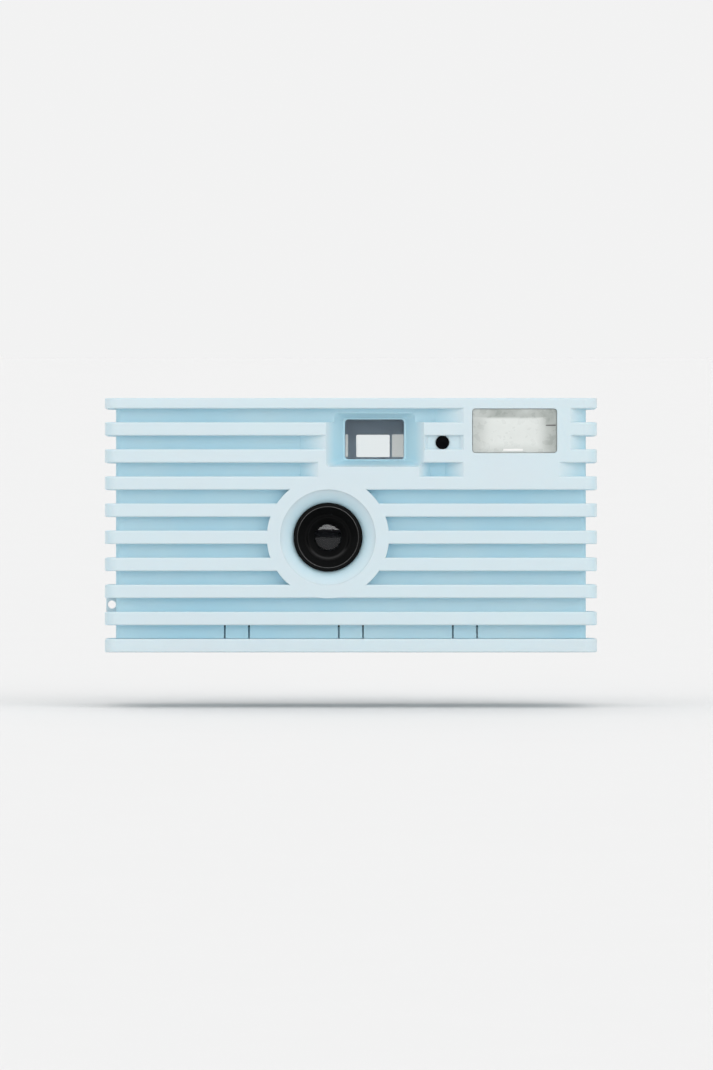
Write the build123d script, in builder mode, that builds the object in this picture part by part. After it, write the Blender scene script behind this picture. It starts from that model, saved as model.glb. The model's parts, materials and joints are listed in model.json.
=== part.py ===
"""A simple 35 mm film camera: ribbed pale-blue case, fixed-focus lens, built-in flash.

X points right as seen from the front, Y to the back, Z up. The origin is the middle of the footprint,
on the surface that the camera stands on. Sizes are in millimetres.
"""
import os
from math import pi
from build123d import *

os.makedirs("parts", exist_ok=True)

# Case: a plain core with a square-ended rib at every pitch
case_width = 120.0
case_depth = 36.0
rib_pitch = 6.6
rib_height = 3.3
rib_count = 10
rib_proud = 2.7
rib_corner = 3.0
rib_edge = 0.35
top_plate_height = 2.6
wall = 1.3
floor_wall = 1.6
core_corner = 1.5
cavity_corner = 0.8
parting_y = 7.0
cover_gap = 0.05
lip_depth = 1.2
lip_thickness = 0.5
lip_gap = 0.05

# Lens and boss
lens_x = -5.6
lens_z = 28.05
boss_radius = 14.9
dish_radius = 11.6
dish_depth = 2.0
lens_ring_radius = 8.33
lens_ring_setback = 0.9
lens_ring_fit = 0.07
taking_lens_radius = 3.8
aperture_radius = 1.6

# Finder
finder_x = 5.75
finder_z = 51.95
finder_width = 14.4
finder_height = 9.7
finder_corner = 0.8
sight_x = 5.4
sight_z = 50.45
sight_width = 8.4
sight_height = 5.6
niche_left = -6.1
niche_right = 17.8
niche_bottom = 45.2
niche_depth = 5.5

# Flash, sensor and ready lamp
flash_from_end = 20.1
flash_width = 20.65
flash_height = 10.8
flash_corner = 0.8
sensor_from_flash = 17.6
sensor_radius = 1.65
ready_lamp_from_end = 35.5
ready_lamp_y = -9.9
switch_from_end = 22.0
switch_y = -1.0
switch_travel = 4.0

# Film and film path
film_width = 35.0
film_thickness = 0.15
film_plane_y = 11.55
frame_width = 36.0
frame_height = 24.0
perforation_pitch = 4.75
perforation_length = 2.0
perforation_height = 2.8
perforation_inset = 2.0

# Cassette
cassette_from_end = 19.8
cassette_y = 1.3
cassette_radius = 12.4
cassette_wall = 0.3
cassette_overhang = 3.7
chamber_gap = 0.4
chamber_wall = 1.2

# Supply side
supply_from_end = 31.0
supply_y = 2.5
roll_radius = 9.0
supply_chamber_radius = 10.5
supply_headroom = 2.85

# Wind and count
deck_headroom = 0.55
deck_thickness = 1.0
wheel_radius = 14.9
wheel_thickness = 3.0
wheel_teeth = 48
tooth_depth = 0.5
sprocket_x = -19.5
sprocket_teeth = 8
dial_x = -12.2
dial_y = -2.5
dial_radius = 8.2
dial_z = 57.2
button_from_wheel = 2.2
button_y = -5.0
button_radius = 5.5
button_travel = 1.2

# Strap lug
lug_thickness = 3.0
lug_hole_radius = 1.0
lug_rim = 0.38

# Snap tongues
tongue_width = 5.5
tongue_spacing = 27.8
slit_width = 0.4

# Battery
battery_radius = 5.25
battery_length = 43.5
battery_y = -7.9
battery_z = 7.85
battery_left = -25.5

running_gap = 0.05
seat_gap = 0.1

case_height = rib_pitch * (rib_count - 1) + top_plate_height
groove_height = rib_pitch - rib_height
face_y = -case_depth / 2
core_half_x = case_width / 2 - rib_proud
core_half_y = case_depth / 2 - rib_proud
cavity_half_x = core_half_x - wall
cavity_half_y = core_half_y - wall
groove_y = -core_half_y
front_wall_y = -cavity_half_y
roof_z = case_height - floor_wall
top_plate_z = case_height - top_plate_height
cover_bottom = rib_height + cover_gap
film_z0 = lens_z - film_width / 2
film_z1 = lens_z + film_width / 2
cassette_x = cassette_from_end - case_width / 2
cassette_bottom = film_z0 - cassette_overhang
cassette_top = film_z1 + cassette_overhang
supply_x = case_width / 2 - supply_from_end
supply_roof_top = film_z1 + supply_headroom
deck_z = cassette_top + deck_headroom
deck_top = deck_z + deck_thickness
flash_x = case_width / 2 - flash_from_end
sensor_x = flash_x - sensor_from_flash
ready_lamp_x = case_width / 2 - ready_lamp_from_end
switch_x = case_width / 2 - switch_from_end
button_x = cassette_x + button_from_wheel
lug_y0 = parting_y - lug_thickness
lug_hole_x = lug_rim + lug_hole_radius - case_width / 2


def groove_z(row):
    """The floor of the groove above rib number row, where rib 0 is the lowest."""
    return row * rib_pitch + rib_height


def slab(width, depth, corner, z, height, edge=0.0):
    """A flat slab with rounded corners that stands on z, both long rims softened by edge."""
    with BuildPart() as piece:
        with BuildSketch(Plane.XY.offset(z)):
            RectangleRounded(width, depth, corner)
        extrude(amount=height)
        if edge > 0:
            rims = piece.edges().group_by(Axis.Z)
            fillet(rims[0] + rims[-1], edge)
    return piece.part


def plan_prism(points, z, height):
    """A prism on z from a closed outline in plan."""
    with BuildPart() as piece:
        with BuildSketch(Plane.XY.offset(z)):
            with BuildLine():
                Polyline(*points, close=True)
            make_face()
        extrude(amount=height)
    return piece.part


def front_prism(points, y0, y1):
    """A prism from y0 back to y1 from a closed outline of (x, z) points seen from the front."""
    with BuildPart() as piece:
        with BuildSketch(Plane.XZ.offset(-y0)):
            with BuildLine():
                Polyline(*points, close=True)
            make_face()
        extrude(amount=y0 - y1)
    return piece.part


def rod_y(x, z, radius, y0, y1):
    """A round bar along Y."""
    with BuildPart() as piece:
        with BuildSketch(Plane.XZ.offset(-y0)):
            with Locations((x, z)):
                Circle(radius)
        extrude(amount=y0 - y1)
    return piece.part


def rod_z(x, y, radius, z0, z1):
    """A round bar along Z."""
    with BuildPart() as piece:
        with BuildSketch(Plane.XY.offset(z0)):
            with Locations((x, y)):
                Circle(radius)
        extrude(amount=z1 - z0)
    return piece.part


def block(x0, x1, y0, y1, z0, z1):
    """A plain block between two corners."""
    with BuildPart() as piece:
        with Locations(((x0 + x1) / 2, (y0 + y1) / 2, (z0 + z1) / 2)):
            Box(abs(x1 - x0), abs(y1 - y0), abs(z1 - z0))
    return piece.part


def turned(profile, centre, along):
    """A turned piece: (radius, distance) points spun once about the axis through centre."""
    across = (1, 0, 0)
    normal = (0, 0, 1) if along == "y" else (0, -1, 0)
    direction = (0, 1, 0) if along == "y" else (0, 0, 1)
    with BuildPart() as piece:
        with BuildSketch(Plane(origin=centre, x_dir=across, z_dir=normal)):
            with BuildLine():
                Polyline(*profile, close=True)
            make_face()
        revolve(axis=Axis(centre, direction))
    return piece.part


def window_loft(x, z, size_a, y_a, size_b, y_b, corner):
    """A tapered rectangular bar along Y between two sections of (width, height, x shift, z shift)."""
    with BuildPart() as piece:
        for size, y in ((size_a, y_a), (size_b, y_b)):
            with BuildSketch(Plane.XZ.offset(-y)):
                with Locations((x + size[2], z + size[3])):
                    RectangleRounded(size[0], size[1], corner)
        loft()
    return piece.part


def save(piece, label):
    """Names a finished piece and writes it out."""
    piece.part.label = label
    export_step(piece.part, f"parts/{label}.step")


def ribbed_case():
    """The outer form of both covers, solid, from the base joint to the top plate."""
    with BuildPart() as piece:
        core_height = case_height - rib_edge - cover_bottom
        add(slab(2 * core_half_x, 2 * core_half_y, core_corner, cover_bottom, core_height))
        for rib in range(1, rib_count):
            height = top_plate_height if rib == rib_count - 1 else rib_height
            add(slab(case_width, case_depth, rib_corner, rib * rib_pitch, height, rib_edge))
    return piece.part


case_form = ribbed_case()
cavity_height = roof_z - floor_wall
cavity_form = slab(2 * cavity_half_x, 2 * cavity_half_y, cavity_corner, floor_wall, cavity_height)
tongue_places = [-tongue_spacing, 0.0, tongue_spacing]
tongue_top = groove_z(0) + groove_height
lug_z0 = groove_z(1)
lug_z1 = lug_z0 + groove_height
sensor_z = groove_z(7) + groove_height / 2
flash_z0 = top_plate_z - flash_height
flash_z = flash_z0 + flash_height / 2


def snap_tongues(side):
    """The three tongues of a cover: a slit each side of each, open below."""
    outer = side * (core_half_y + 1)
    inner = side * (cavity_half_y - 1)
    cuts = []
    for x in tongue_places:
        for edge in (-1, 1):
            middle = x + edge * (tongue_width + slit_width) / 2
            cuts.append(block(middle - slit_width / 2, middle + slit_width / 2, outer, inner,
                              cover_bottom - 1, tongue_top))
    return cuts


def snap_barbs(side):
    """A wedge-shaped barb inside each tongue, which catches in a window of the base cover's lip."""
    face = side * cavity_half_y
    point = face - side * barb_depth
    barbs = []
    for x in tongue_places:
        half = tongue_width / 2 - barb_side_gap
        with BuildPart() as barb:
            with BuildSketch(Plane.YZ.offset(x - half)):
                with BuildLine():
                    Polyline((face + side * 0.3, barb_z), (point, barb_z), (face + side * 0.3, barb_z + barb_height),
                             close=True)
                make_face()
            extrude(amount=2 * half)
        barbs.append(barb.part)
    return barbs


barb_z = 4.5
barb_height = 1.3
barb_depth = 0.9
barb_side_gap = 0.4

# Front cover: face plugs in the upper grooves round the finder and the flash, with ramped ends
plug_root = groove_y + 0.3
groove_ramp = 4.4
left_run = niche_left - 6.3
pocket_left = 16.6
block_left = flash_x - 12.4
block_right = flash_x + 13.6
block_ramp = 3.5
lower_run = 4.5
upper_run = 7.0
shallow_y = face_y + 0.8
groove_plugs = [
    (6, [(left_run, plug_root), (left_run, groove_y), (left_run + groove_ramp, face_y), (pocket_left, face_y),
         (pocket_left + 2.8, groove_y), (pocket_left + 2.8, plug_root)]),
    (6, [(block_left - lower_run, plug_root), (block_left - lower_run, groove_y), (block_left, face_y),
         (block_right - 2.9, face_y), (block_right + block_ramp, groove_y), (block_right + block_ramp, plug_root)]),
    (7, [(left_run, plug_root), (left_run, groove_y), (niche_left, face_y), (niche_right, face_y),
         (niche_right + 0.8, shallow_y), (block_left - 1.0, shallow_y), (block_left, face_y),
         (block_right, face_y), (block_right + block_ramp, groove_y), (block_right + block_ramp, plug_root)]),
    (8, [(block_left - upper_run, plug_root), (block_left - upper_run, groove_y),
         (block_left - 1.2, face_y + 0.6), (block_left, face_y),
         (block_right, face_y), (block_right + block_ramp, groove_y), (block_right + block_ramp, plug_root)]),
]
niche_width = niche_right - niche_left
niche_height = top_plate_z - niche_bottom
niche_x = (niche_left + niche_right) / 2
niche_z = niche_bottom + niche_height / 2
niche_y = face_y + niche_depth
niche_back = niche_y + wall
lens_hole_radius = lens_ring_radius + lens_ring_fit
rebate = lip_thickness + 3 * lip_gap
counter_window_radius = 2.6
light_pipe_radius = 1.4
switch_slot = (11.0, 3.6)

with BuildPart() as front_cover:
    add(case_form)
    add(rod_y(lens_x, lens_z, boss_radius, face_y, front_wall_y))
    for row, outline in groove_plugs:
        add(plan_prism(outline, groove_z(row) - rib_edge, groove_height + 2 * rib_edge))
    add(cavity_form, mode=Mode.SUBTRACT)
    add(block(niche_left - 1, niche_right + 1, groove_y, niche_back, niche_bottom - 1, top_plate_z + 0.5))
    add(window_loft(niche_x, niche_z, (niche_width, niche_height, 0, 0), face_y,
                    (finder_width + 1, finder_height + 0.6, finder_x - niche_x, finder_z - niche_z), niche_y, 1.0),
        mode=Mode.SUBTRACT)
    add(window_loft(finder_x, finder_z, (finder_width, finder_height, 0, 0), niche_y - 1,
                    (finder_width, finder_height, 0, 0), niche_back + 1, finder_corner), mode=Mode.SUBTRACT)
    add(window_loft(flash_x, flash_z, (flash_width, flash_height, 0, 0), face_y - 1,
                    (flash_width, flash_height, 0, 0), front_wall_y + 1, flash_corner), mode=Mode.SUBTRACT)
    add(rod_y(sensor_x, sensor_z, sensor_radius, face_y - 1, front_wall_y + 1), mode=Mode.SUBTRACT)
    add(turned([(0, face_y - 1), (dish_radius, face_y - 1), (dish_radius, face_y + 0.3),
                (lens_hole_radius, face_y + dish_depth), (lens_hole_radius, front_wall_y + 1),
                (0, front_wall_y + 1)], (lens_x, 0, lens_z), "y"), mode=Mode.SUBTRACT)
    add(rod_z(button_x, button_y, button_radius + running_gap, roof_z - 1, case_height + 1), mode=Mode.SUBTRACT)
    add(rod_z(dial_x, dial_y - dial_radius + counter_window_radius, counter_window_radius, roof_z - 1,
              case_height + 1), mode=Mode.SUBTRACT)
    add(rod_z(ready_lamp_x, ready_lamp_y, light_pipe_radius + running_gap, roof_z - 1, case_height + 1),
        mode=Mode.SUBTRACT)
    add(block(switch_x - switch_slot[0] / 2, switch_x + switch_slot[0] / 2, switch_y - switch_slot[1] / 2,
              switch_y + switch_slot[1] / 2, roof_z - 1, case_height + 1), mode=Mode.SUBTRACT)
    add(block(-case_width / 2, 1 - cavity_half_x, lug_y0 - running_gap, parting_y + 1, lug_z0, lug_z1),
        mode=Mode.SUBTRACT)
    add(block(-cavity_half_x - rebate, cavity_half_x + rebate, parting_y - lip_depth - seat_gap, parting_y + 1,
              cover_bottom - 1, roof_z + rebate), mode=Mode.SUBTRACT)
    add(snap_tongues(-1), mode=Mode.SUBTRACT)
    add(snap_barbs(-1))
    split(bisect_by=Plane.XZ.offset(-parting_y), keep=Keep.TOP)
save(front_cover, "front_cover")

# Back cover: thumb scoop with a slot for the wheel, eyepiece opening, film guide ribs, light-trap lip
scoop_floor_y = 13.4
scoop_width = 31.2
scoop_slope = 2.8
scoop_z0 = groove_z(7)
scoop_height = top_plate_z - scoop_z0
scoop_z = scoop_z0 + scoop_height / 2
scoop_floor_height = 7.4
wheel_z = scoop_z
wheel_z0 = wheel_z - wheel_thickness / 2
wheel_gap = 0.3
guide_gap = 0.25
guide_reach = frame_width / 2 + 1.0
back_plug_margin = 3.6
scoop_pad_z = scoop_z - scoop_floor_height / 2 - wall
lip_y0 = parting_y - lip_depth
lip_half_x = cavity_half_x + lip_gap
lip_top = roof_z + lip_gap

with BuildPart() as lip_ring:
    add(block(-lip_half_x - lip_thickness, lip_half_x + lip_thickness, lip_y0, parting_y + 1, cover_bottom,
              lip_top + lip_thickness))
    add(block(-lip_half_x, lip_half_x, lip_y0 - 1, parting_y + 2, 0, lip_top), mode=Mode.SUBTRACT)
    add(block(-core_half_x, -cavity_half_x, lip_y0 - 1, parting_y + cover_gap, lug_z0 - seat_gap, lug_z1 + seat_gap),
        mode=Mode.SUBTRACT)

with BuildPart() as back_cover:
    add(case_form)
    add(block(sight_x - sight_width / 2 - back_plug_margin, sight_x + sight_width / 2 + back_plug_margin,
              -plug_root, -face_y, groove_z(7) - rib_edge, groove_z(7) + groove_height + rib_edge))
    add(cavity_form, mode=Mode.SUBTRACT)
    split(bisect_by=Plane.XZ.offset(-parting_y - cover_gap), keep=Keep.BOTTOM)
    add(lip_ring.part)
    add(block(cassette_x - scoop_width / 2 + 1, cassette_x + scoop_width / 2 - 1, scoop_floor_y - wall,
              -groove_y - 0.3, scoop_pad_z, roof_z + 0.5))
    add(window_loft(cassette_x, scoop_z,
                    (scoop_width - 2 * scoop_slope, scoop_floor_height, 0, 0), scoop_floor_y,
                    (scoop_width, scoop_height, 0, 0), -face_y + 0.01, 1.2), mode=Mode.SUBTRACT)
    add(rod_z(cassette_x, cassette_y, wheel_radius + wheel_gap, wheel_z0 - wheel_gap,
              wheel_z0 + wheel_thickness + wheel_gap), mode=Mode.SUBTRACT)
    add(window_loft(sight_x, sight_z, (sight_width + 0.6, sight_height + 0.6, 0, 0), cavity_half_y - 1,
                    (sight_width + 4, sight_height + 3.2, 0, 0), -face_y + 0.01, 0.8), mode=Mode.SUBTRACT)
    for z0 in (film_z0 + 0.4, film_z1 - 1.6):
        add(block(lens_x - guide_reach, lens_x + guide_reach, film_plane_y + film_thickness + guide_gap,
                  cavity_half_y + 0.5, z0, z0 + 1.2))
    add(snap_tongues(1), mode=Mode.SUBTRACT)
    add(snap_barbs(1))
save(back_cover, "back_cover")

# Base cover: the lowest rib, with a lip inside the walls and windows for the barbs
base_lip_top = 6.2
base_lip = 1.0
base_outer_x = 2 * (cavity_half_x - cover_gap)
base_outer_y = 2 * (cavity_half_y - cover_gap)
with BuildPart() as base_cover:
    add(slab(case_width, case_depth, rib_corner, 0, rib_height, rib_edge))
    add(slab(base_outer_x, base_outer_y, cavity_corner, floor_wall, base_lip_top - floor_wall))
    add(slab(base_outer_x - 2 * base_lip, base_outer_y - 2 * base_lip, cavity_corner, floor_wall, rib_pitch),
        mode=Mode.SUBTRACT)
    for x in tongue_places:
        for side in (-1, 1):
            add(block(x - tongue_width / 2, x + tongue_width / 2, side * (cavity_half_y + 0.3),
                      side * (cavity_half_y - base_lip - 1), barb_z - 0.15, barb_z + barb_height + 0.15),
                mode=Mode.SUBTRACT)
save(base_cover, "base_cover")

# Strap lug: a pierced tab between two ribs, caught between the covers, with a foot behind the side wall
lug_foot = 1.2
foot_side = 1.6
foot_rise = 1.4
with BuildPart() as strap_lug:
    add(block(-case_width / 2, lug_foot - cavity_half_x, lug_y0, parting_y, lug_z0, lug_z1))
    add(block(-cavity_half_x, lug_foot - cavity_half_x, lug_y0 - foot_side, parting_y + foot_side,
              lug_z0 - foot_rise, lug_z1 + foot_rise))
    add(rod_y(lug_hole_x, (lug_z0 + lug_z1) / 2, lug_hole_radius, lug_y0 - 1, parting_y + 1),
        mode=Mode.SUBTRACT)
save(strap_lug, "strap_lug")


def link_plate(bosses, arms, y0, y1):
    """A flat lever cut from sheet: bosses (x, z, radius) and round-ended arms (x, z, x, z, width)."""
    with BuildPart() as piece:
        with BuildSketch(Plane.XZ.offset(-y0)):
            for x, z, radius in bosses:
                with Locations((x, z)):
                    Circle(radius)
            for xa, za, xb, zb, width in arms:
                SlotCenterPoint(((xa + xb) / 2, (za + zb) / 2), (xb, zb), width)
        extrude(amount=y0 - y1)
    return piece.part


# Chassis: floor, two film chambers, film gate with its rails, exposure chamber, deck and posts
gate_y0 = 10.0
gate_y1 = 11.2
gate_top = film_z1 + 0.75
chamber_radius = cassette_radius + chamber_gap
chamber_outer = chamber_radius + chamber_wall
chamber_floor_z = cassette_bottom - 0.35
chamber_open_y = 10.2
supply_outer = supply_chamber_radius + chamber_wall
supply_floor_z = film_z0 - 2.55
supply_pin_radius = 1.5
chassis_z0 = floor_wall + seat_gap
chassis_floor_top = chassis_z0 + 0.7
tunnel_wall = 1.1
tunnel_front_y = -8.1
tunnel_front = (9.8, 7.8)
tunnel_plate_y = tunnel_front_y - 1.0
tunnel_plate_half = (12.4, 10.0)
tunnel_hole_radius = 3.8
sprocket_radius = sprocket_teeth * perforation_pitch / (2 * pi) - film_thickness / 2
sprocket_y = film_plane_y - sprocket_radius - running_gap
sprocket_tip = sprocket_radius + 1.1
sprocket_shaft_radius = 1.5
perforation_z = film_z1 - perforation_inset - perforation_height / 2
sprocket_z0 = perforation_z - 0.9
sprocket_z1 = sprocket_z0 + 2.25
fork_journal_radius = 6.0
dial_post_radius = 1.2
stem_x = -22.5
stem_y = -11.6
stem_radius = 1.1
rail_height = 1.6
board_y0 = -12.8
board_y1 = -11.6
board_screw_x = supply_x
board_screw_places = [20.0, 42.0]
board_post_radius = 2.0
board_pilot_radius = 0.8
spool_foot_radius = 6.2
floor_left = cassette_x - 9.8
floor_back_y = 10.5
throat_left = cassette_x + 10.2
throat_right = cassette_x + 13.2
throat_front_y = 6.0
gate_left = cassette_x + 12.2
mouth_cut_left = cassette_x + 8.2
supply_roof = 1.0
deck_right = finder_x - finder_width / 2 - 2.75
deck_back_y = 11.4
deck_gap = 0.4

with BuildPart() as chassis:
    add(block(floor_left, cavity_half_x - base_lip - 0.3, -cavity_half_y + base_lip + 0.4, floor_back_y,
              chassis_z0, chassis_floor_top))
    add(rod_z(cassette_x, cassette_y, chamber_outer, chassis_z0, deck_z))
    add(rod_z(supply_x, supply_y, supply_outer, chassis_z0, supply_roof_top))
    add(block(throat_left, throat_right, throat_front_y, gate_y0 + 0.6, chassis_z0, deck_z))
    add(block(gate_left, supply_x - supply_outer + 0.6, gate_y0, gate_y1, chassis_z0, gate_top))
    add(block(supply_x - supply_outer, supply_x - supply_chamber_radius, supply_y, gate_y1, chassis_z0, gate_top))
    for z0 in (film_z0 + 0.15, film_z1 - 0.15 - rail_height):
        add(block(throat_right, supply_x - supply_outer, gate_y1, film_plane_y - running_gap, z0, z0 + rail_height))
    add(window_loft(lens_x, lens_z, (frame_width + 2 * tunnel_wall, frame_height + 2 * tunnel_wall, 0, 0), gate_y0,
                    (tunnel_front[0] + 2 * tunnel_wall, tunnel_front[1] + 2 * tunnel_wall, 0, 0),
                    tunnel_front_y, 0.4))
    add(block(lens_x - tunnel_plate_half[0], lens_x + tunnel_plate_half[0], tunnel_plate_y, tunnel_front_y,
              lens_z - tunnel_plate_half[1], lens_z + tunnel_plate_half[1]))
    add(block(-cavity_half_x + deck_gap, deck_right, front_wall_y + deck_gap, deck_back_y, deck_z, deck_top))
    add(rod_z(sprocket_x, sprocket_y, sprocket_shaft_radius + 1.3, sprocket_z1 + 0.3, deck_top))
    add(rod_z(dial_x, dial_y, dial_post_radius, deck_top, dial_z + 1.4))
    for z in board_screw_places:
        add(rod_y(board_screw_x, z, board_post_radius, board_y1 + running_gap, supply_y - supply_chamber_radius - 0.4))
    add(rod_z(cassette_x, cassette_y, chamber_radius, chamber_floor_z, deck_z), mode=Mode.SUBTRACT)
    add(rod_z(cassette_x, cassette_y, chamber_radius, chassis_floor_top, chamber_floor_z - chamber_wall),
        mode=Mode.SUBTRACT)
    add(rod_z(cassette_x, cassette_y, spool_foot_radius, chamber_floor_z - 2, chamber_floor_z + 1),
        mode=Mode.SUBTRACT)
    add(rod_z(cassette_x, cassette_y, fork_journal_radius + 0.08, deck_z - 1, deck_top + 1), mode=Mode.SUBTRACT)
    add(rod_z(supply_x, supply_y, supply_chamber_radius, supply_floor_z, supply_roof_top - supply_roof),
        mode=Mode.SUBTRACT)
    add(rod_z(supply_x, supply_y, supply_chamber_radius, chassis_floor_top, supply_floor_z - 1.0),
        mode=Mode.SUBTRACT)
    add(rod_z(supply_x, supply_y, supply_pin_radius + running_gap, chassis_floor_top, supply_roof_top + 1),
        mode=Mode.SUBTRACT)
    add(block(-cavity_half_x, throat_left, chamber_open_y, case_depth, 0, deck_z), mode=Mode.SUBTRACT)
    add(block(mouth_cut_left, gate_left, gate_y0 + 0.6, case_depth, 0, deck_z), mode=Mode.SUBTRACT)
    add(block(supply_x - supply_chamber_radius, cavity_half_x, chamber_open_y, case_depth, 0, case_height),
        mode=Mode.SUBTRACT)
    add(window_loft(lens_x, lens_z, (frame_width, frame_height, 0, 0), gate_y0,
                    (tunnel_front[0], tunnel_front[1], 0, 0), tunnel_front_y, 0.4), mode=Mode.SUBTRACT)
    add(block(lens_x - frame_width / 2, lens_x + frame_width / 2, gate_y0 - 0.001, gate_y1 + 1,
              lens_z - frame_height / 2, lens_z + frame_height / 2), mode=Mode.SUBTRACT)
    add(rod_y(lens_x, lens_z, tunnel_hole_radius, tunnel_plate_y - 1, tunnel_front_y + 1), mode=Mode.SUBTRACT)
    add(block(sprocket_x - sprocket_tip - 0.9, sprocket_x + sprocket_tip + 0.9, gate_y0 - 1, film_plane_y + 1,
              sprocket_z0 - 0.05, deck_z), mode=Mode.SUBTRACT)
    add(rod_z(sprocket_x, sprocket_y, sprocket_shaft_radius + running_gap, sprocket_z1, deck_top + 1),
        mode=Mode.SUBTRACT)
    add(rod_z(stem_x, stem_y, stem_radius + 0.3, deck_z - 1, deck_top + 1), mode=Mode.SUBTRACT)
    add(block(niche_left - 1.5, deck_right + 1, front_wall_y, niche_back + 0.3, deck_z - 1, deck_top + 1),
        mode=Mode.SUBTRACT)
    for z in board_screw_places:
        add(rod_y(board_screw_x, z, board_pilot_radius, board_y1 - 1, board_y1 + 2.4), mode=Mode.SUBTRACT)
save(chassis, "chassis")

# Lens ring: black ring with a stepped funnel, held by its flange behind the front wall
ring_flange = 9.6
ring_back_y = front_wall_y + 0.65
rim_y = face_y + lens_ring_setback
with BuildPart() as lens_ring:
    add(turned([(lens_ring_radius, front_wall_y + running_gap), (lens_ring_radius, rim_y + 0.25),
                (lens_ring_radius - 0.25, rim_y), (7.4, rim_y), (5.7, rim_y + 1.5), (5.7, rim_y + 2.0),
                (4.7, rim_y + 2.2), (3.45, rim_y + 3.2), (3.45, ring_back_y), (ring_flange, ring_back_y),
                (ring_flange, front_wall_y + running_gap)], (lens_x, 0, lens_z), "y"))
save(lens_ring, "lens_ring")

# Lens holder: barrel with a bored seat, two ears and two legs that stand on the shutter plate
holder_y = ring_back_y + 0.1
flange_y0 = holder_y + 1.65
flange_y1 = flange_y0 + 0.65
seat_y = flange_y0 - 0.3
ear_reach = 9.4
shutter_plate_y0 = tunnel_plate_y - 0.75
shutter_plate_y1 = tunnel_plate_y - 0.05
with BuildPart() as lens_holder:
    add(rod_y(lens_x, lens_z, 6.0, holder_y, flange_y0))
    add(link_plate([(lens_x, lens_z, 8.0)], [(lens_x - ear_reach, lens_z, lens_x + ear_reach, lens_z, 3.0)],
                   flange_y0, flange_y1))
    for side in (-1, 1):
        add(rod_y(lens_x + side * ear_reach, lens_z, 1.2, flange_y0, shutter_plate_y0 - running_gap))
    add(rod_y(lens_x, lens_z, taking_lens_radius + running_gap, holder_y - 1, seat_y), mode=Mode.SUBTRACT)
    add(rod_y(lens_x, lens_z, 2.6, holder_y - 1, flange_y1 + 1), mode=Mode.SUBTRACT)
save(lens_holder, "lens_holder")

# Taking lens: one plano-convex element
lens_front_y = holder_y + 0.05
with BuildPart() as taking_lens:
    with BuildSketch(Plane(origin=(lens_x, 0, lens_z))):
        with BuildLine():
            ThreePointArc((0, lens_front_y), (taking_lens_radius * 0.55, lens_front_y + 0.13),
                          (taking_lens_radius, lens_front_y + 0.45))
            Polyline((taking_lens_radius, lens_front_y + 0.45), (taking_lens_radius, seat_y - running_gap),
                     (0, seat_y - running_gap), (0, lens_front_y))
        make_face()
    revolve(axis=Axis((lens_x, 0, lens_z), (0, 1, 0)))
save(taking_lens, "taking_lens")

# Aperture plate
aperture_y = flange_y1 + running_gap
with BuildPart() as aperture_plate:
    add(rod_y(lens_x, lens_z, 7.6, aperture_y, aperture_y + 0.3))
    add(rod_y(lens_x, lens_z, aperture_radius, aperture_y - 1, aperture_y + 1), mode=Mode.SUBTRACT)
save(aperture_plate, "aperture_plate")

# Shutter: base plate with two pivot posts, blade with a kick peg, striker, two springs
blade_pivot = (lens_x - 10.8, lens_z + 5.0)
peg_place = (blade_pivot[0] - 8.0, blade_pivot[1] + 1.5)
peg_radius = 0.8
striker_pivot = (-13.5, 38.5)
striker_tip = (peg_place[0], peg_place[1] + 2.4)
striker_tip_radius = 1.2
striker_y0 = -12.6
striker_y1 = -11.9
blade_y0 = -10.4
blade_y1 = -10.1
blade_post_radius = 0.9
striker_post_radius = 1.0
pivot_gap = 0.06
with BuildPart() as shutter_plate:
    add(front_prism([(-27.0, 21.5), (-25.0, 19.5), (4.5, 19.5), (4.5, 43.6), (2.5, 45.6), (-22.0, 45.6),
                     (-27.0, 40.6)], shutter_plate_y0, shutter_plate_y1))
    add(rod_y(blade_pivot[0], blade_pivot[1], blade_post_radius, blade_y0 - 1.2, shutter_plate_y0))
    add(rod_y(striker_pivot[0], striker_pivot[1], striker_post_radius, striker_y0 - 0.9, shutter_plate_y0))
    add(rod_y(lens_x, lens_z, 4.2, shutter_plate_y0 - 1, shutter_plate_y1 + 1), mode=Mode.SUBTRACT)
save(shutter_plate, "shutter_plate")

with BuildPart() as shutter_blade:
    add(link_plate([(lens_x, lens_z, 3.4), (*blade_pivot, 1.9), (*peg_place, 1.3)],
                   [(*blade_pivot, lens_x, lens_z, 3.0), (*blade_pivot, *peg_place, 1.8)], blade_y0, blade_y1))
    add(rod_y(*peg_place, peg_radius, striker_y0 + 0.1, blade_y0))
    add(rod_y(*blade_pivot, blade_post_radius + pivot_gap, blade_y0 - 1, blade_y1 + 1), mode=Mode.SUBTRACT)
save(shutter_blade, "shutter_blade")

tail_place = (striker_pivot[0] - 5.5, striker_pivot[1] + 4.6)
with BuildPart() as striker_lever:
    add(link_plate([(*striker_pivot, 2.2), (*striker_tip, striker_tip_radius)],
                   [(*striker_pivot, *striker_tip, 2.0), (*striker_pivot, *tail_place, 1.8)],
                   striker_y0, striker_y1))
    add(rod_y(*striker_pivot, striker_post_radius + pivot_gap, striker_y0 - 1, striker_y1 + 1), mode=Mode.SUBTRACT)
save(striker_lever, "striker_lever")


def hair_spring(pivot, post_radius, y0, legs):
    """A small wound spring round a post, drawn as its closed coil with a straight leg at each end."""
    coil = 0.7
    wire = 0.35
    arms = [(*pivot, *leg, wire) for leg in legs]
    with BuildPart() as piece:
        add(rod_y(*pivot, post_radius + pivot_gap + coil, y0, y0 + coil))
        for number, arm in enumerate(arms):
            start = y0 + number * wire
            add(link_plate([], [arm], start, start + wire))
        add(rod_y(*pivot, post_radius + pivot_gap, y0 - 1, y0 + 1), mode=Mode.SUBTRACT)
    return piece


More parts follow.
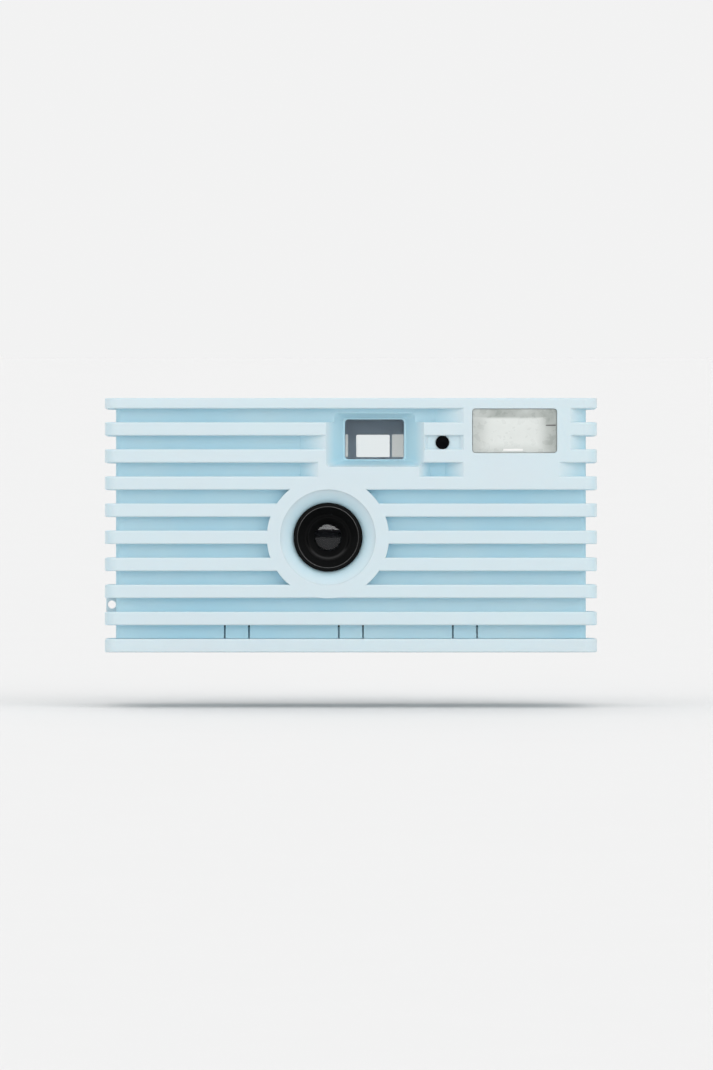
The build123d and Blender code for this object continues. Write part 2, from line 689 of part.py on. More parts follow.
striker_spring = hair_spring(striker_pivot, striker_post_radius, striker_y0 - 0.8,
                             [(striker_pivot[0] - 5.0, striker_pivot[1] - 0.4),
                              (striker_pivot[0] + 4.0, striker_pivot[1] + 3.0)])
save(striker_spring, "striker_spring")
blade_spring = hair_spring(blade_pivot, blade_post_radius, blade_y0 - 0.8,
                           [(blade_pivot[0] - 3.5, blade_pivot[1] + 0.8),
                            (blade_pivot[0] - 1.0, blade_pivot[1] - 4.0)])
save(blade_spring, "blade_spring")

# Finder: a stepped tube with a mask plate half-way, the front lens and the eyepiece
finder_wall = 1.1
finder_front_y = niche_back + seat_gap
mask_y0 = 2.0
mask_y1 = 3.2
finder_back_y = cavity_half_y - seat_gap
with BuildPart() as finder_housing:
    add(block(finder_x - finder_width / 2 - finder_wall, finder_x + finder_width / 2 + finder_wall, finder_front_y,
              mask_y1, finder_z - finder_height / 2 - finder_wall, finder_z + finder_height / 2 + finder_wall))
    add(block(sight_x - sight_width / 2 - finder_wall, sight_x + sight_width / 2 + finder_wall, mask_y0,
              finder_back_y, sight_z - sight_height / 2 - finder_wall, sight_z + sight_height / 2 + finder_wall))
    add(window_loft(finder_x, finder_z, (finder_width, finder_height, 0, 0), finder_front_y - 1,
                    (finder_width, finder_height, 0, 0), mask_y0, finder_corner), mode=Mode.SUBTRACT)
    add(window_loft(sight_x, sight_z, (sight_width, sight_height, 0, 0), mask_y0 - 1,
                    (sight_width, sight_height, 0, 0), finder_back_y + 1, 0.3), mode=Mode.SUBTRACT)
save(finder_housing, "finder_housing")

finder_lens_thickness = 1.6
finder_lens_middle = 1.2
finder_lens_curve = 400.0
with BuildPart() as finder_front_lens:
    add(window_loft(finder_x, finder_z, (finder_width - 2 * seat_gap, finder_height - 2 * seat_gap, 0, 0),
                    finder_front_y + 0.2, (finder_width - 2 * seat_gap, finder_height - 2 * seat_gap, 0, 0),
                    finder_front_y + 0.2 + finder_lens_thickness, finder_corner))
    with Locations((finder_x, finder_front_y + 0.2 + finder_lens_middle + finder_lens_curve, finder_z)):
        Sphere(finder_lens_curve, mode=Mode.SUBTRACT)
save(finder_front_lens, "finder_front_lens")

with BuildPart() as finder_eyepiece:
    add(window_loft(sight_x, sight_z, (sight_width - 2 * seat_gap, sight_height - 2 * seat_gap, 0, 0),
                    finder_back_y - 1.9, (sight_width - 2 * seat_gap, sight_height - 2 * seat_gap, 0, 0),
                    finder_back_y - 0.4, 0.3))
save(finder_eyepiece, "finder_eyepiece")

# Sensor window: a black plug with a collar behind the front wall
with BuildPart() as sensor_window:
    add(turned([(0, face_y + 0.4), (sensor_radius - running_gap, face_y + 0.4),
                (sensor_radius - running_gap, front_wall_y + running_gap), (sensor_radius + 1.0,
                front_wall_y + running_gap), (sensor_radius + 1.0, front_wall_y + 0.8), (0, front_wall_y + 0.8)],
               (sensor_x, 0, sensor_z), "y"))
save(sensor_window, "sensor_window")

# Flash: window cup with a collar, trough reflector, tube
window_front_y = face_y + 0.3
window_sheet = 1.1
window_side = 0.75
collar_reach = 1.9
collar_y1 = front_wall_y + 0.75
with BuildPart() as flash_window:
    body_width = flash_width - 2 * seat_gap
    body_height = flash_height - 2 * seat_gap
    add(window_loft(flash_x, flash_z, (body_width, body_height, 0, 0), window_front_y,
                    (body_width, body_height, 0, 0), collar_y1, flash_corner - seat_gap))
    add(block(flash_x - flash_width / 2 - collar_reach / 2, flash_x + flash_width / 2 + collar_reach / 2,
              front_wall_y + running_gap, collar_y1, flash_z - flash_height / 2 - collar_reach / 2,
              flash_z + flash_height / 2 + collar_reach / 2 - 0.2))
    add(window_loft(flash_x, flash_z, (body_width - 2 * window_side, body_height - 2 * window_side, 0, 0),
                    window_front_y + window_sheet, (body_width - 2 * window_side,
                    body_height - 2 * window_side, 0, 0), collar_y1 + 1, 0.3), mode=Mode.SUBTRACT)
save(flash_window, "flash_window")

reflector_sheet = 0.45
reflector_front_y = window_front_y + window_sheet + 0.3
reflector_back_y = -7.6
tube_y = reflector_back_y - 2.0
tube_radius = 1.25
mouth = (body_width - 2 * window_side - 0.3, body_height - 2 * window_side - 0.3)
throat = (15.0, 3.9)
with BuildPart() as flash_reflector:
    add(window_loft(flash_x, flash_z, (mouth[0], mouth[1], 0, 0), reflector_front_y,
                    (throat[0], throat[1], 0, 0), reflector_back_y, 0.4))
    add(window_loft(flash_x, flash_z,
                    (mouth[0] - 2 * reflector_sheet, mouth[1] - 2 * reflector_sheet, 0, 0), reflector_front_y - 0.01,
                    (throat[0] - 2 * reflector_sheet, throat[1] - 2 * reflector_sheet, 0, 0),
                    reflector_back_y - reflector_sheet, 0.3), mode=Mode.SUBTRACT)
    with BuildSketch(Plane.YZ.offset(flash_x - flash_width)):
        with Locations((tube_y, flash_z)):
            Circle(tube_radius + 0.1)
    extrude(amount=2 * flash_width, mode=Mode.SUBTRACT)
save(flash_reflector, "flash_reflector")

with BuildPart() as flash_tube:
    with BuildSketch(Plane.YZ.offset(flash_x - 11.5)):
        with Locations((tube_y, flash_z)):
            Circle(tube_radius)
    extrude(amount=23.0)
save(flash_tube, "flash_tube")

# Flash electronics: board with its raised corner, capacitor, transformer, lamp and light pipe
board_left = supply_x - 9.8
board_right = cavity_half_x - 1.0
board_bottom = 14.0
board_top = 46.6
tab_right = supply_x - 1.0
tab_top = 56.5
with BuildPart() as circuit_board:
    add(front_prism([(board_left, board_bottom), (board_right, board_bottom), (board_right, board_top),
                     (tab_right, board_top), (tab_right, tab_top), (board_left, tab_top)], board_y0, board_y1))
    for z in board_screw_places:
        add(rod_y(board_screw_x, z, 1.1, board_y0 - 1, board_y1 + 1), mode=Mode.SUBTRACT)
save(circuit_board, "circuit_board")

screw_head_radius = 1.8
screw_head = 0.8
with BuildPart() as board_screws:
    for z in board_screw_places:
        add(turned([(0, board_y0 - screw_head), (screw_head_radius - 0.3, board_y0 - screw_head),
                    (screw_head_radius, board_y0 - 0.4), (screw_head_radius, board_y0), (0.75, board_y0),
                    (0.75, board_y1 + 2.0), (0, board_y1 + 2.0)], (board_screw_x, 0, z), "y"))
save(board_screws, "board_screws")

capacitor_radius = 6.9
capacitor_length = 30.0
capacitor_x = case_width / 2 - 12.4
capacitor_y = -1.9
capacitor_z0 = chassis_floor_top + seat_gap
with BuildPart() as main_capacitor:
    top = capacitor_z0 + capacitor_length
    add(turned([(0, capacitor_z0), (capacitor_radius - 0.5, capacitor_z0), (capacitor_radius, capacitor_z0 + 0.5),
                (capacitor_radius, top - 4.2), (capacitor_radius - 0.5, top - 3.6), (capacitor_radius - 0.5, top - 3.0),
                (capacitor_radius, top - 2.4), (capacitor_radius, top - 0.5), (capacitor_radius - 0.5, top),
                (0, top)], (capacitor_x, capacitor_y, 0), "z"))
save(main_capacitor, "main_capacitor")

winding_half_x = 4.75
winding_half_z = 4.0
winding_z = 39.0
winding_depth = 4.4
cheek = 1.0
cheek_lap = 0.8
with BuildPart() as transformer:
    winding_y = board_y1 + running_gap
    for y in (winding_y, winding_y + cheek + winding_depth):
        add(block(capacitor_x - winding_half_x, capacitor_x + winding_half_x, y, y + cheek,
                  winding_z - winding_half_z, winding_z + winding_half_z))
    add(block(capacitor_x - winding_half_x + cheek_lap, capacitor_x + winding_half_x - cheek_lap,
              winding_y + cheek, winding_y + cheek + winding_depth,
              winding_z - winding_half_z + cheek_lap, winding_z + winding_half_z - cheek_lap))
save(transformer, "transformer")

lamp_radius = 1.4
lamp_z0 = deck_z + 0.2
lamp_height = 5.5
with BuildPart() as ready_lamp:
    add(rod_z(ready_lamp_x, ready_lamp_y, lamp_radius, lamp_z0, lamp_z0 + lamp_height))
    fillet(ready_lamp.edges().group_by(Axis.Z)[-1], lamp_radius * 0.6)
save(ready_lamp, "ready_lamp")

pipe_z0 = lamp_z0 + lamp_height + 0.3
with BuildPart() as light_pipe:
    add(turned([(0, pipe_z0), (light_pipe_radius, pipe_z0), (light_pipe_radius, roof_z - 0.9),
                (light_pipe_radius + 0.8, roof_z - 0.9), (light_pipe_radius + 0.8, roof_z - running_gap),
                (light_pipe_radius, roof_z - running_gap), (light_pipe_radius, case_height - 0.1),
                (0, case_height - 0.1)], (ready_lamp_x, ready_lamp_y, 0), "z"))
save(light_pipe, "light_pipe")

# Flash switch: a flat slider in the top plate, with a flange below it and grip ribs
switch_clear = 0.2
knob_length = switch_slot[0] - switch_travel - 2 * switch_clear
knob_x0 = switch_x - switch_slot[0] / 2 + switch_clear
knob_half = switch_slot[1] / 2 - 0.1
with BuildPart() as flash_switch:
    add(block(knob_x0, knob_x0 + knob_length, switch_y - knob_half, switch_y + knob_half, roof_z - 0.8,
              case_height - 0.1))
    add(block(knob_x0 - 1.5, knob_x0 + knob_length + 1.5, switch_y - knob_half - 1, switch_y + knob_half + 1,
              roof_z - 1.5, roof_z - seat_gap))
    for step in range(4):
        x = knob_x0 + knob_length / 2 + (step - 1.5) * 1.3
        add(block(x - 0.3, x + 0.3, switch_y - knob_half - 1, switch_y + knob_half + 1, case_height - 0.5,
                  case_height), mode=Mode.SUBTRACT)
save(flash_switch, "flash_switch")

# Battery and its two contacts
battery_right = battery_left + battery_length
contact_sheet = 0.4
with BuildPart() as battery:
    with BuildSketch(Plane.YZ.offset(battery_left)):
        with Locations((battery_y, battery_z)):
            Circle(battery_radius)
    extrude(amount=battery_length)
    fillet(battery.edges(), 0.5)
    with BuildSketch(Plane.YZ.offset(battery_right)):
        with Locations((battery_y, battery_z)):
            Circle(1.9)
    extrude(amount=1.0)
save(battery, "battery")


def contact(x, side, label):
    """A flat contact that stands on the chassis floor at one end of the battery, its foot turned outwards."""
    with BuildPart() as piece:
        add(block(x, x + side * contact_sheet, battery_y - 3.2, battery_y + 1.6, chassis_floor_top,
                  battery_z + 3.5))
        add(block(x, x + side * 1.6, battery_y - 3.2, battery_y + 1.6, chassis_floor_top,
                  chassis_floor_top + contact_sheet))
    save(piece, label)


contact(battery_left - seat_gap, -1, "battery_contact_minus")
contact(battery_right + 1.0 + seat_gap, 1, "battery_contact_plus")

# Film cassette: shell with a felt-lipped mouth, two end caps, spool with its driving web
cap_sheet = 0.3
cap_plug = 1.2
mouth_left = cassette_x + 4.2
mouth_right = cassette_x + 11.3
mouth_y0 = 10.9
mouth_y1 = 12.4
spool_hole = 5.6
cassette_fit = 0.05
with BuildPart() as cassette_shell:
    shell_z0 = cassette_bottom + cap_sheet
    shell_z1 = cassette_top - cap_sheet
    add(rod_z(cassette_x, cassette_y, cassette_radius, shell_z0, shell_z1))
    add(block(mouth_left, mouth_right, mouth_y0, mouth_y1, film_z0 - 0.9, film_z1 + 0.9))
    add(rod_z(cassette_x, cassette_y, cassette_radius - cassette_wall, shell_z0 - 1, shell_z1 + 1),
        mode=Mode.SUBTRACT)
    add(block(mouth_left - 1, mouth_right + 1, film_plane_y - 0.25, film_plane_y + film_thickness + 0.25,
              film_z0 - 0.3, film_z1 + 0.3), mode=Mode.SUBTRACT)
save(cassette_shell, "cassette_shell")

cap_outer = cassette_radius
cap_inner = cassette_radius - cassette_wall - cassette_fit
with BuildPart() as cassette_bottom_cap:
    z0 = cassette_bottom
    add(turned([(spool_hole, z0), (cap_outer, z0), (cap_outer, z0 + cap_sheet), (cap_inner, z0 + cap_sheet),
                (cap_inner, z0 + cap_sheet + cap_plug), (spool_hole, z0 + cap_sheet + cap_plug)],
               (cassette_x, cassette_y, 0), "z"))
save(cassette_bottom_cap, "cassette_bottom_cap")
with BuildPart() as cassette_top_cap:
    z0 = cassette_top
    add(turned([(spool_hole, z0), (cap_outer, z0), (cap_outer, z0 - cap_sheet), (cap_inner, z0 - cap_sheet),
                (cap_inner, z0 - cap_sheet - cap_plug), (spool_hole, z0 - cap_sheet - cap_plug)],
               (cassette_x, cassette_y, 0), "z"))
save(cassette_top_cap, "cassette_top_cap")

spool_radius = 5.4
socket_radius = 4.3
socket_floor = cassette_top - 8.25
web_top = cassette_top - 3.75
web_half = 0.6
flange_radius = 11.2
with BuildPart() as cassette_spool:
    low = cassette_bottom + cap_sheet + cap_plug + 0.2
    high = cassette_top - cap_sheet - cap_plug - 0.2
    add(turned([(0, chassis_floor_top + 0.2), (4.0, chassis_floor_top + 0.2), (4.0, cassette_bottom - 1.5),
                (spool_radius, cassette_bottom - 1.0), (spool_radius, low), (flange_radius, low),
                (flange_radius, low + 0.8), (spool_radius, low + 0.8), (spool_radius, high - 0.8),
                (flange_radius, high - 0.8), (flange_radius, high), (spool_radius, high),
                (spool_radius, cassette_top - 0.3), (socket_radius, cassette_top - 0.3),
                (socket_radius, socket_floor), (0, socket_floor)], (cassette_x, cassette_y, 0), "z"))
    add(block(cassette_x - socket_radius - 0.3, cassette_x + socket_radius + 0.3, cassette_y - web_half,
              cassette_y + web_half, socket_floor - 0.3, web_top))
save(cassette_spool, "cassette_spool")

# Film: the strip across the gate with both rows of perforations, and the roll on its spool
strip_left = cassette_x + 6.2
with BuildPart() as film_strip:
    add(block(strip_left, supply_x, film_plane_y, film_plane_y + film_thickness, film_z0, film_z1))
    first = int((strip_left + perforation_length - sprocket_x) / perforation_pitch)
    last = int((supply_x - perforation_length - sprocket_x) / perforation_pitch)
    for place in range(first, last + 1):
        for z in (perforation_z, film_z0 + film_z1 - perforation_z):
            x = sprocket_x + place * perforation_pitch
            add(block(x - perforation_length / 2, x + perforation_length / 2, film_plane_y - 1, film_plane_y + 1,
                      z - perforation_height / 2, z + perforation_height / 2), mode=Mode.SUBTRACT)
save(film_strip, "film_strip")

supply_core = 2.9
with BuildPart() as supply_spool:
    pin = supply_pin_radius
    flange = roll_radius + 0.6
    low = film_z0 - 1.3
    high = film_z1 + 0.5
    core_low = supply_floor_z + seat_gap
    core_high = supply_roof_top - supply_roof - seat_gap
    add(turned([(0, core_low - 1.0), (pin, core_low - 1.0), (pin, core_low), (supply_core, core_low),
                (supply_core, low), (flange, low), (flange, low + 0.8), (supply_core, low + 0.8),
                (supply_core, high), (flange, high), (flange, high + 0.8), (supply_core, high + 0.8),
                (supply_core, core_high), (pin, core_high), (pin, core_high + 1.0), (0, core_high + 1.0)],
               (supply_x, supply_y, 0), "z"))
save(supply_spool, "supply_spool")

with BuildPart() as film_roll:
    add(rod_z(supply_x, supply_y, roll_radius, film_z0, film_z1))
    add(rod_z(supply_x, supply_y, supply_core + running_gap, film_z0 - 1, film_z1 + 1), mode=Mode.SUBTRACT)
save(film_roll, "film_roll")

# Thumbwheel: toothed disc with a shoulder, a journal in the deck and a fork down into the spool
tooth_root = wheel_radius - tooth_depth
shoulder_radius = 7.5
fork_radius = socket_radius - 0.2
fork_z0 = socket_floor + 0.8
journal_z0 = cassette_top + 0.15
dish_z = 0.7
with BuildPart() as thumbwheel:
    with BuildSketch(Plane.XY.offset(wheel_z0)):
        with Locations((cassette_x, cassette_y)):
            Circle(tooth_root)
            with PolarLocations(tooth_root - 0.2, wheel_teeth):
                Rectangle(2 * (tooth_depth + 0.2), 1.0)
    extrude(amount=wheel_thickness)
    wheel_axis = (cassette_x, cassette_y, 0)
    add(turned([(8.5, wheel_z0 + wheel_thickness - dish_z), (12.6, wheel_z0 + wheel_thickness - dish_z),
                (13.2, wheel_z0 + wheel_thickness + 1), (7.9, wheel_z0 + wheel_thickness + 1)], wheel_axis, "z"),
        mode=Mode.SUBTRACT)
    add(turned([(0, fork_z0), (fork_radius, fork_z0), (fork_radius, journal_z0), (fork_journal_radius, journal_z0),
                (fork_journal_radius, deck_top + running_gap), (shoulder_radius, deck_top + running_gap),
                (shoulder_radius, wheel_z0 + 0.1), (0, wheel_z0 + 0.1)], wheel_axis, "z"))
    add(block(cassette_x - spool_radius, cassette_x + spool_radius, cassette_y - web_half - 0.15,
              cassette_y + web_half + 0.15, fork_z0 - 1, web_top + 0.3), mode=Mode.SUBTRACT)
save(thumbwheel, "thumbwheel")

# Ratchet spring: a bent leaf on the deck whose nose lies beside the teeth
leaf_sheet = 0.4
leaf_x = cassette_x + wheel_radius + 0.45
leaf_half = 4.5
with BuildPart() as ratchet_spring:
    add(block(leaf_x, leaf_x + leaf_sheet, cassette_y - leaf_half, cassette_y + leaf_half, deck_top,
              wheel_z0 + wheel_thickness - 0.4))
    add(block(leaf_x, leaf_x + 2.2, cassette_y - leaf_half, cassette_y - leaf_half + 3.0, deck_top,
              deck_top + leaf_sheet))
    add(block(leaf_x - 0.3, leaf_x + 0.1, cassette_y - 0.35, cassette_y + 0.35, wheel_z0 + 0.4,
              wheel_z0 + wheel_thickness - 0.4))
save(ratchet_spring, "ratchet_spring")

# Sprocket wheel: eight tapered teeth, a shaft through the deck and the driver of the counter
driver_radius = 2.5
dial_thickness = 1.0
tooth_half = perforation_length / 2 - 0.25
tooth_angle = 78
tooth_root_depth = 0.5
with BuildPart() as sprocket_wheel:
    add(turned([(0, sprocket_z0), (sprocket_radius, sprocket_z0), (sprocket_radius, sprocket_z1),
                (sprocket_shaft_radius, sprocket_z1), (sprocket_shaft_radius, dial_z),
                (driver_radius, dial_z), (driver_radius, dial_z + dial_thickness), (0, dial_z + dial_thickness)],
               (sprocket_x, sprocket_y, 0), "z"))
    with BuildSketch(Plane.XY.offset(sprocket_z0)):
        with Locations((sprocket_x, sprocket_y)):
            with PolarLocations((sprocket_radius - tooth_root_depth + sprocket_tip) / 2, sprocket_teeth,
                                start_angle=90):
                Trapezoid(2 * tooth_half, sprocket_tip - sprocket_radius + tooth_root_depth, tooth_angle,
                          rotation=-90)
    extrude(amount=1.8)
save(sprocket_wheel, "sprocket_wheel")

# Counter dial and its window
with BuildPart() as counter_dial:
    add(turned([(dial_post_radius + running_gap, deck_top + running_gap), (2.4, deck_top + running_gap),
                (2.4, dial_z), (dial_radius, dial_z), (dial_radius, dial_z + dial_thickness),
                (dial_post_radius + running_gap, dial_z + dial_thickness)], (dial_x, dial_y, 0), "z"))
save(counter_dial, "counter_dial")

window_y = dial_y - dial_radius + counter_window_radius
with BuildPart() as counter_window:
    plug = counter_window_radius - running_gap
    add(turned([(0, roof_z - 0.75), (plug + 0.9, roof_z - 0.75), (plug + 0.9, roof_z - running_gap),
                (plug, roof_z - running_gap), (plug, case_height - 0.15), (0, case_height - 0.15)],
               (dial_x, window_y, 0), "z"))
save(counter_window, "counter_window")

# Shutter button: dished cap with a collar, an arm beside the wheel and a stem down to the striker's tail
arm_z0 = wheel_z0 + wheel_thickness + button_travel + 0.6
arm_z1 = arm_z0 + 1.5
arm_half = 1.6
collar_radius = button_radius + 0.9
collar_top = roof_z - seat_gap
stem_z0 = tail_place[1] + 0.9 + button_travel + 0.4
with BuildPart() as shutter_button:
    add(turned([(0, arm_z0), (collar_radius, arm_z0), (collar_radius, collar_top), (button_radius, collar_top),
                (button_radius, case_height - 0.4), (button_radius - 0.4, case_height),
                (button_radius - 1.0, case_height), (0, case_height - 0.6)], (button_x, button_y, 0), "z"))
    with BuildSketch(Plane.XY.offset(arm_z0)):
        SlotCenterPoint(((button_x + stem_x) / 2, (button_y + stem_y) / 2), (stem_x, stem_y), 2 * arm_half)
    extrude(amount=arm_z1 - arm_z0)
    add(rod_z(stem_x, stem_y, stem_radius, stem_z0, arm_z1))
save(shutter_button, "shutter_button")

# Button spring: a leaf bent back on itself between the deck and the arm
leaf_left = stem_x - 8.5
leaf_right = stem_x - 2.1
with BuildPart() as button_spring:
    with BuildSketch(Plane.XZ.offset(-stem_y + 1.0)):
        with BuildLine():
            Polyline((leaf_right, deck_top), (leaf_left, deck_top), (leaf_left, deck_top + 0.6),
                     (leaf_right - 0.4, arm_z0), (leaf_right, arm_z0), (leaf_left + 0.6, deck_top + 0.3),
                     (leaf_right, deck_top + 0.3), close=True)
        make_face()
    extrude(amount=-2.0)
save(button_spring, "button_spring")
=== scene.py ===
"""Finishes, fine pieces, light and camera for the ribbed 35 mm film camera.

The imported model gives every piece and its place, in metres: X right as seen from the front, Y back, Z up.
"""

import json

import bpy
import numpy as np
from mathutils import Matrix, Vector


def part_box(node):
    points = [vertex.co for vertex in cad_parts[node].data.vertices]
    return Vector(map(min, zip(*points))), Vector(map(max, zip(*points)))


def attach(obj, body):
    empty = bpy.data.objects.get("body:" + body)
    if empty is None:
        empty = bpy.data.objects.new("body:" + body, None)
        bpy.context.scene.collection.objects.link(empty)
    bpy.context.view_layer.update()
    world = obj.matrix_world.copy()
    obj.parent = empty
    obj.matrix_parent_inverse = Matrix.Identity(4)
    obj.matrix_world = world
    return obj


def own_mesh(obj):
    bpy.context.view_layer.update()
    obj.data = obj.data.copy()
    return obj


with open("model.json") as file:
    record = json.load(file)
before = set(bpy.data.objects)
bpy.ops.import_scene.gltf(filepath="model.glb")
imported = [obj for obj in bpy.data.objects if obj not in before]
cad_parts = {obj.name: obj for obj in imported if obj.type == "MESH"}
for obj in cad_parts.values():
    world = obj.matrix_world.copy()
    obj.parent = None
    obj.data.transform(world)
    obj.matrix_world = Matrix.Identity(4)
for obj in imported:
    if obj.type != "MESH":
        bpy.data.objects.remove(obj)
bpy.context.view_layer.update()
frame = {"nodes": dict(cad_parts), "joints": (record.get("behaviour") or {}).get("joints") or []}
pieces = frame["nodes"]


# Case shells: injection-moulded in one pale blue plastic, with a fine even grain, and snapped together. The
# groove floors are painted a deeper, darker blue than the proud ribs, as painted shade for the light that the
# ribs catch and the grooves miss, so the colour follows the height above the groove floor.
def new_finish(name):
    """Returns a new material, its node maker add and its Principled shader. add(kind, **values) makes a node.
    A value whose key starts with in_ goes to the input of that name or number, and a (node, socket) pair
    there makes a link. Every other value is one of the node's own settings."""
    material = bpy.data.materials.new(name)
    material.use_nodes = True
    tree = material.node_tree
    tree.nodes.clear()

    def add(kind, **values):
        node = tree.nodes.new("ShaderNode" + kind)
        for key, value in values.items():
            if not key.startswith("in_"):
                setattr(node, key, value)
        for key, value in values.items():
            if key.startswith("in_"):
                place = key.removeprefix("in_").replace("_", " ")
                socket = node.inputs[int(place) if place.isdigit() else place]
                if isinstance(value, tuple) and isinstance(value[0], bpy.types.Node):
                    tree.links.new(value[0].outputs[value[1]], socket)
                else:
                    socket.default_value = value
        return node

    shader = add("BsdfPrincipled")
    output = add("OutputMaterial")
    tree.links.new(shader.outputs[0], output.inputs[0])
    add.link = lambda source, place, target: tree.links.new(source.outputs[place], target)
    return material, add, shader


def paint(add, shader, colour, mottle, mottle_size, roughness, rough_spread, grain_size, grain_depth,
          edge=0.0):
    """Noise of mottle_size metres turns colour towards mottle, noise of half that size spreads the roughness,
    and noise of grain_size metres raises the surface by grain_depth metres. Edges catch light as if rounded
    to the radius edge, in metres. A colour is three numbers or a (node, socket) pair. Returns the node that
    gives the roughness."""
    place = add("TexCoord")
    clouds = add("TexNoise", in_Vector=(place, "Object"), in_Scale=1 / mottle_size, in_Detail=3.0)
    mix = add("Mix", data_type="RGBA", in_Factor=(clouds, 0), in_B=(*mottle, 1.0))
    if isinstance(colour[0], float):
        mix.inputs["A"].default_value = (*colour, 1.0)
    else:
        add.link(colour[0], colour[1], mix.inputs["A"])
    add.link(mix, "Result", shader.inputs["Base Color"])
    wear = add("TexNoise", in_Vector=(place, "Object"), in_Scale=2 / mottle_size, in_Detail=4.0)
    spread = add("MapRange", in_Value=(wear, 0), in_From_Min=0.3, in_From_Max=0.7,
                 in_To_Min=roughness - rough_spread, in_To_Max=roughness + rough_spread)
    add.link(spread, 0, shader.inputs["Roughness"])
    grain = add("TexNoise", in_Vector=(place, "Object"), in_Scale=1 / grain_size, in_Detail=2.0)
    bump = add("Bump", in_Height=(grain, 0), in_Distance=grain_depth, in_Strength=1.0)
    if edge:
        add.link(add("Bevel", samples=4, in_Radius=edge), 0, bump.inputs["Normal"])
    add.link(bump, 0, shader.inputs["Normal"])
    return spread


def dress(material, *names):
    """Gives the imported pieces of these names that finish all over."""
    for name in names:
        data = pieces[name].data
        if not data.materials:
            data.materials.append(material)
        for number in range(len(data.materials)):
            data.materials[number] = material


rib_blue = (0.645, 0.73, 0.775)
# Painted shade: the groove floors get a deeper, darker blue than the ribs.
groove_painted_shade_blue = (0.36, 0.68, 0.82)
groove_floor_x = 0.0573
groove_floor_y = 0.0153
rib_rise = 0.0027
top_groove_roof = 0.0596
lowest_rib_top = 0.0033
case_finish, add, shader = new_finish("case_blue_plastic")
place = add("TexCoord")
axes = add("SeparateXYZ", in_0=(place, "Object"))
above_floor = []
for axis, floor in (("X", groove_floor_x), ("Y", groove_floor_y)):
    off_middle = add("Math", operation="ABSOLUTE", in_0=(axes, axis))
    above_floor.append(add("Math", operation="SUBTRACT", in_0=(off_middle, 0), in_1=floor))
proud = add("Math", operation="MAXIMUM", in_0=(above_floor[0], 0), in_1=(above_floor[1], 0))
slope = add("MapRange", in_Value=(proud, 0), in_From_Min=0.0, in_From_Max=rib_rise, in_To_Min=0.0,
            in_To_Max=1.0)
above = add("Math", operation="GREATER_THAN", in_0=(axes, "Z"), in_1=top_groove_roof)
below = add("Math", operation="LESS_THAN", in_0=(axes, "Z"), in_1=lowest_rib_top)
flats = add("Math", operation="MAXIMUM", in_0=(above, 0), in_1=(below, 0))
rise = add("Math", operation="MAXIMUM", in_0=(slope, 0), in_1=(flats, 0))
# Painted shade: from the groove blue on the floors to the rib blue on the proud ribs and the flat top and
# foot.
painted_shade_by_height = add("Mix", data_type="RGBA", in_Factor=(rise, 0), in_A=(*groove_painted_shade_blue, 1.0),
                  in_B=(*rib_blue, 1.0))
paint(add, shader, colour=(painted_shade_by_height, "Result"), mottle=(0.62, 0.77, 0.82), mottle_size=0.03,
      roughness=0.5, rough_spread=0.05, grain_size=0.0004, grain_depth=0.00001, edge=0.0002)
shader.inputs["Subsurface Weight"].default_value = 0.15
shader.inputs["Subsurface Radius"].default_value = (0.5, 0.8, 1.0)
shader.inputs["Subsurface Scale"].default_value = 0.001
dress(case_finish, "front_cover", "back_cover", "base_cover")


# Strap lug: a pierced tab at the side, moulded in the same blue plastic and caught between the covers. It
# sits in the shade between the ribs and is painted paler than the shells, as painted light, so it shows as if
# lit.
lug_painted_light_finish, add, shader = new_finish("lug_blue_plastic_painted_light")
# Painted light: a paler blue than the shells, against the shade the lug sits in.
paint(add, shader, colour=(0.76, 0.87, 0.92), mottle=(0.72, 0.84, 0.89), mottle_size=0.006,
      roughness=0.5, rough_spread=0.05, grain_size=0.0004, grain_depth=0.00001, edge=0.0002)
dress(lug_painted_light_finish, "strap_lug")


# Controls: flash switch, shutter button and thumbwheel, moulded in the same blue and polished by thumbs where
# they are touched.
control_finish, add, shader = new_finish("control_blue_plastic")
paint(add, shader, colour=(0.46, 0.70, 0.80), mottle=(0.52, 0.75, 0.84), mottle_size=0.006,
      roughness=0.38, rough_spread=0.08, grain_size=0.0003, grain_depth=0.000008)
dress(control_finish, "flash_switch", "shutter_button", "thumbwheel")


# Chassis, spools and sprocket wheel: moulded in black glass-filled plastic, matt so that no light strays onto
# the film. Flow marks from the mould show as broad, faint changes of sheen.
chassis_finish, add, shader = new_finish("chassis_black_plastic")
paint(add, shader, colour=(0.012, 0.012, 0.013), mottle=(0.022, 0.022, 0.024), mottle_size=0.008,
      roughness=0.6, rough_spread=0.1, grain_size=0.0003, grain_depth=0.00002)
dress(chassis_finish, "chassis", "sprocket_wheel", "supply_spool", "cassette_spool")


# Lens ring and holder: moulded in black plastic of a finer grain than the chassis. The ring is held by its
# flange behind the front wall. Both are satin but for one narrow polished circle in the ring's funnel, which
# shows as a thin bright line.
ring_low, ring_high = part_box("lens_ring")
ring_middle = ((ring_low[0] + ring_high[0]) / 2, ring_low[1], (ring_low[2] + ring_high[2]) / 2)
polished_circle = 0.0051
polished_half_width = 0.00012
satin_roughness = 0.5
ring_finish, add, shader = new_finish("lens_ring_black_plastic")
polished = paint(add, shader, colour=(0.0012, 0.0014, 0.0014), mottle=(0.002, 0.0023, 0.0026),
                 mottle_size=0.004, roughness=0.17, rough_spread=0.03, grain_size=0.0002,
                 grain_depth=0.000002, edge=0.00012)
shader.inputs["Specular IOR Level"].default_value = 0.06
place = add("TexCoord")
from_axis = add("VectorMath", operation="SUBTRACT", in_0=(place, "Object"), in_1=ring_middle)
in_plane = add("VectorMath", operation="MULTIPLY", in_0=(from_axis, 0), in_1=(1.0, 0.0, 1.0))
circle = add("VectorMath", operation="LENGTH", in_0=(in_plane, 0))
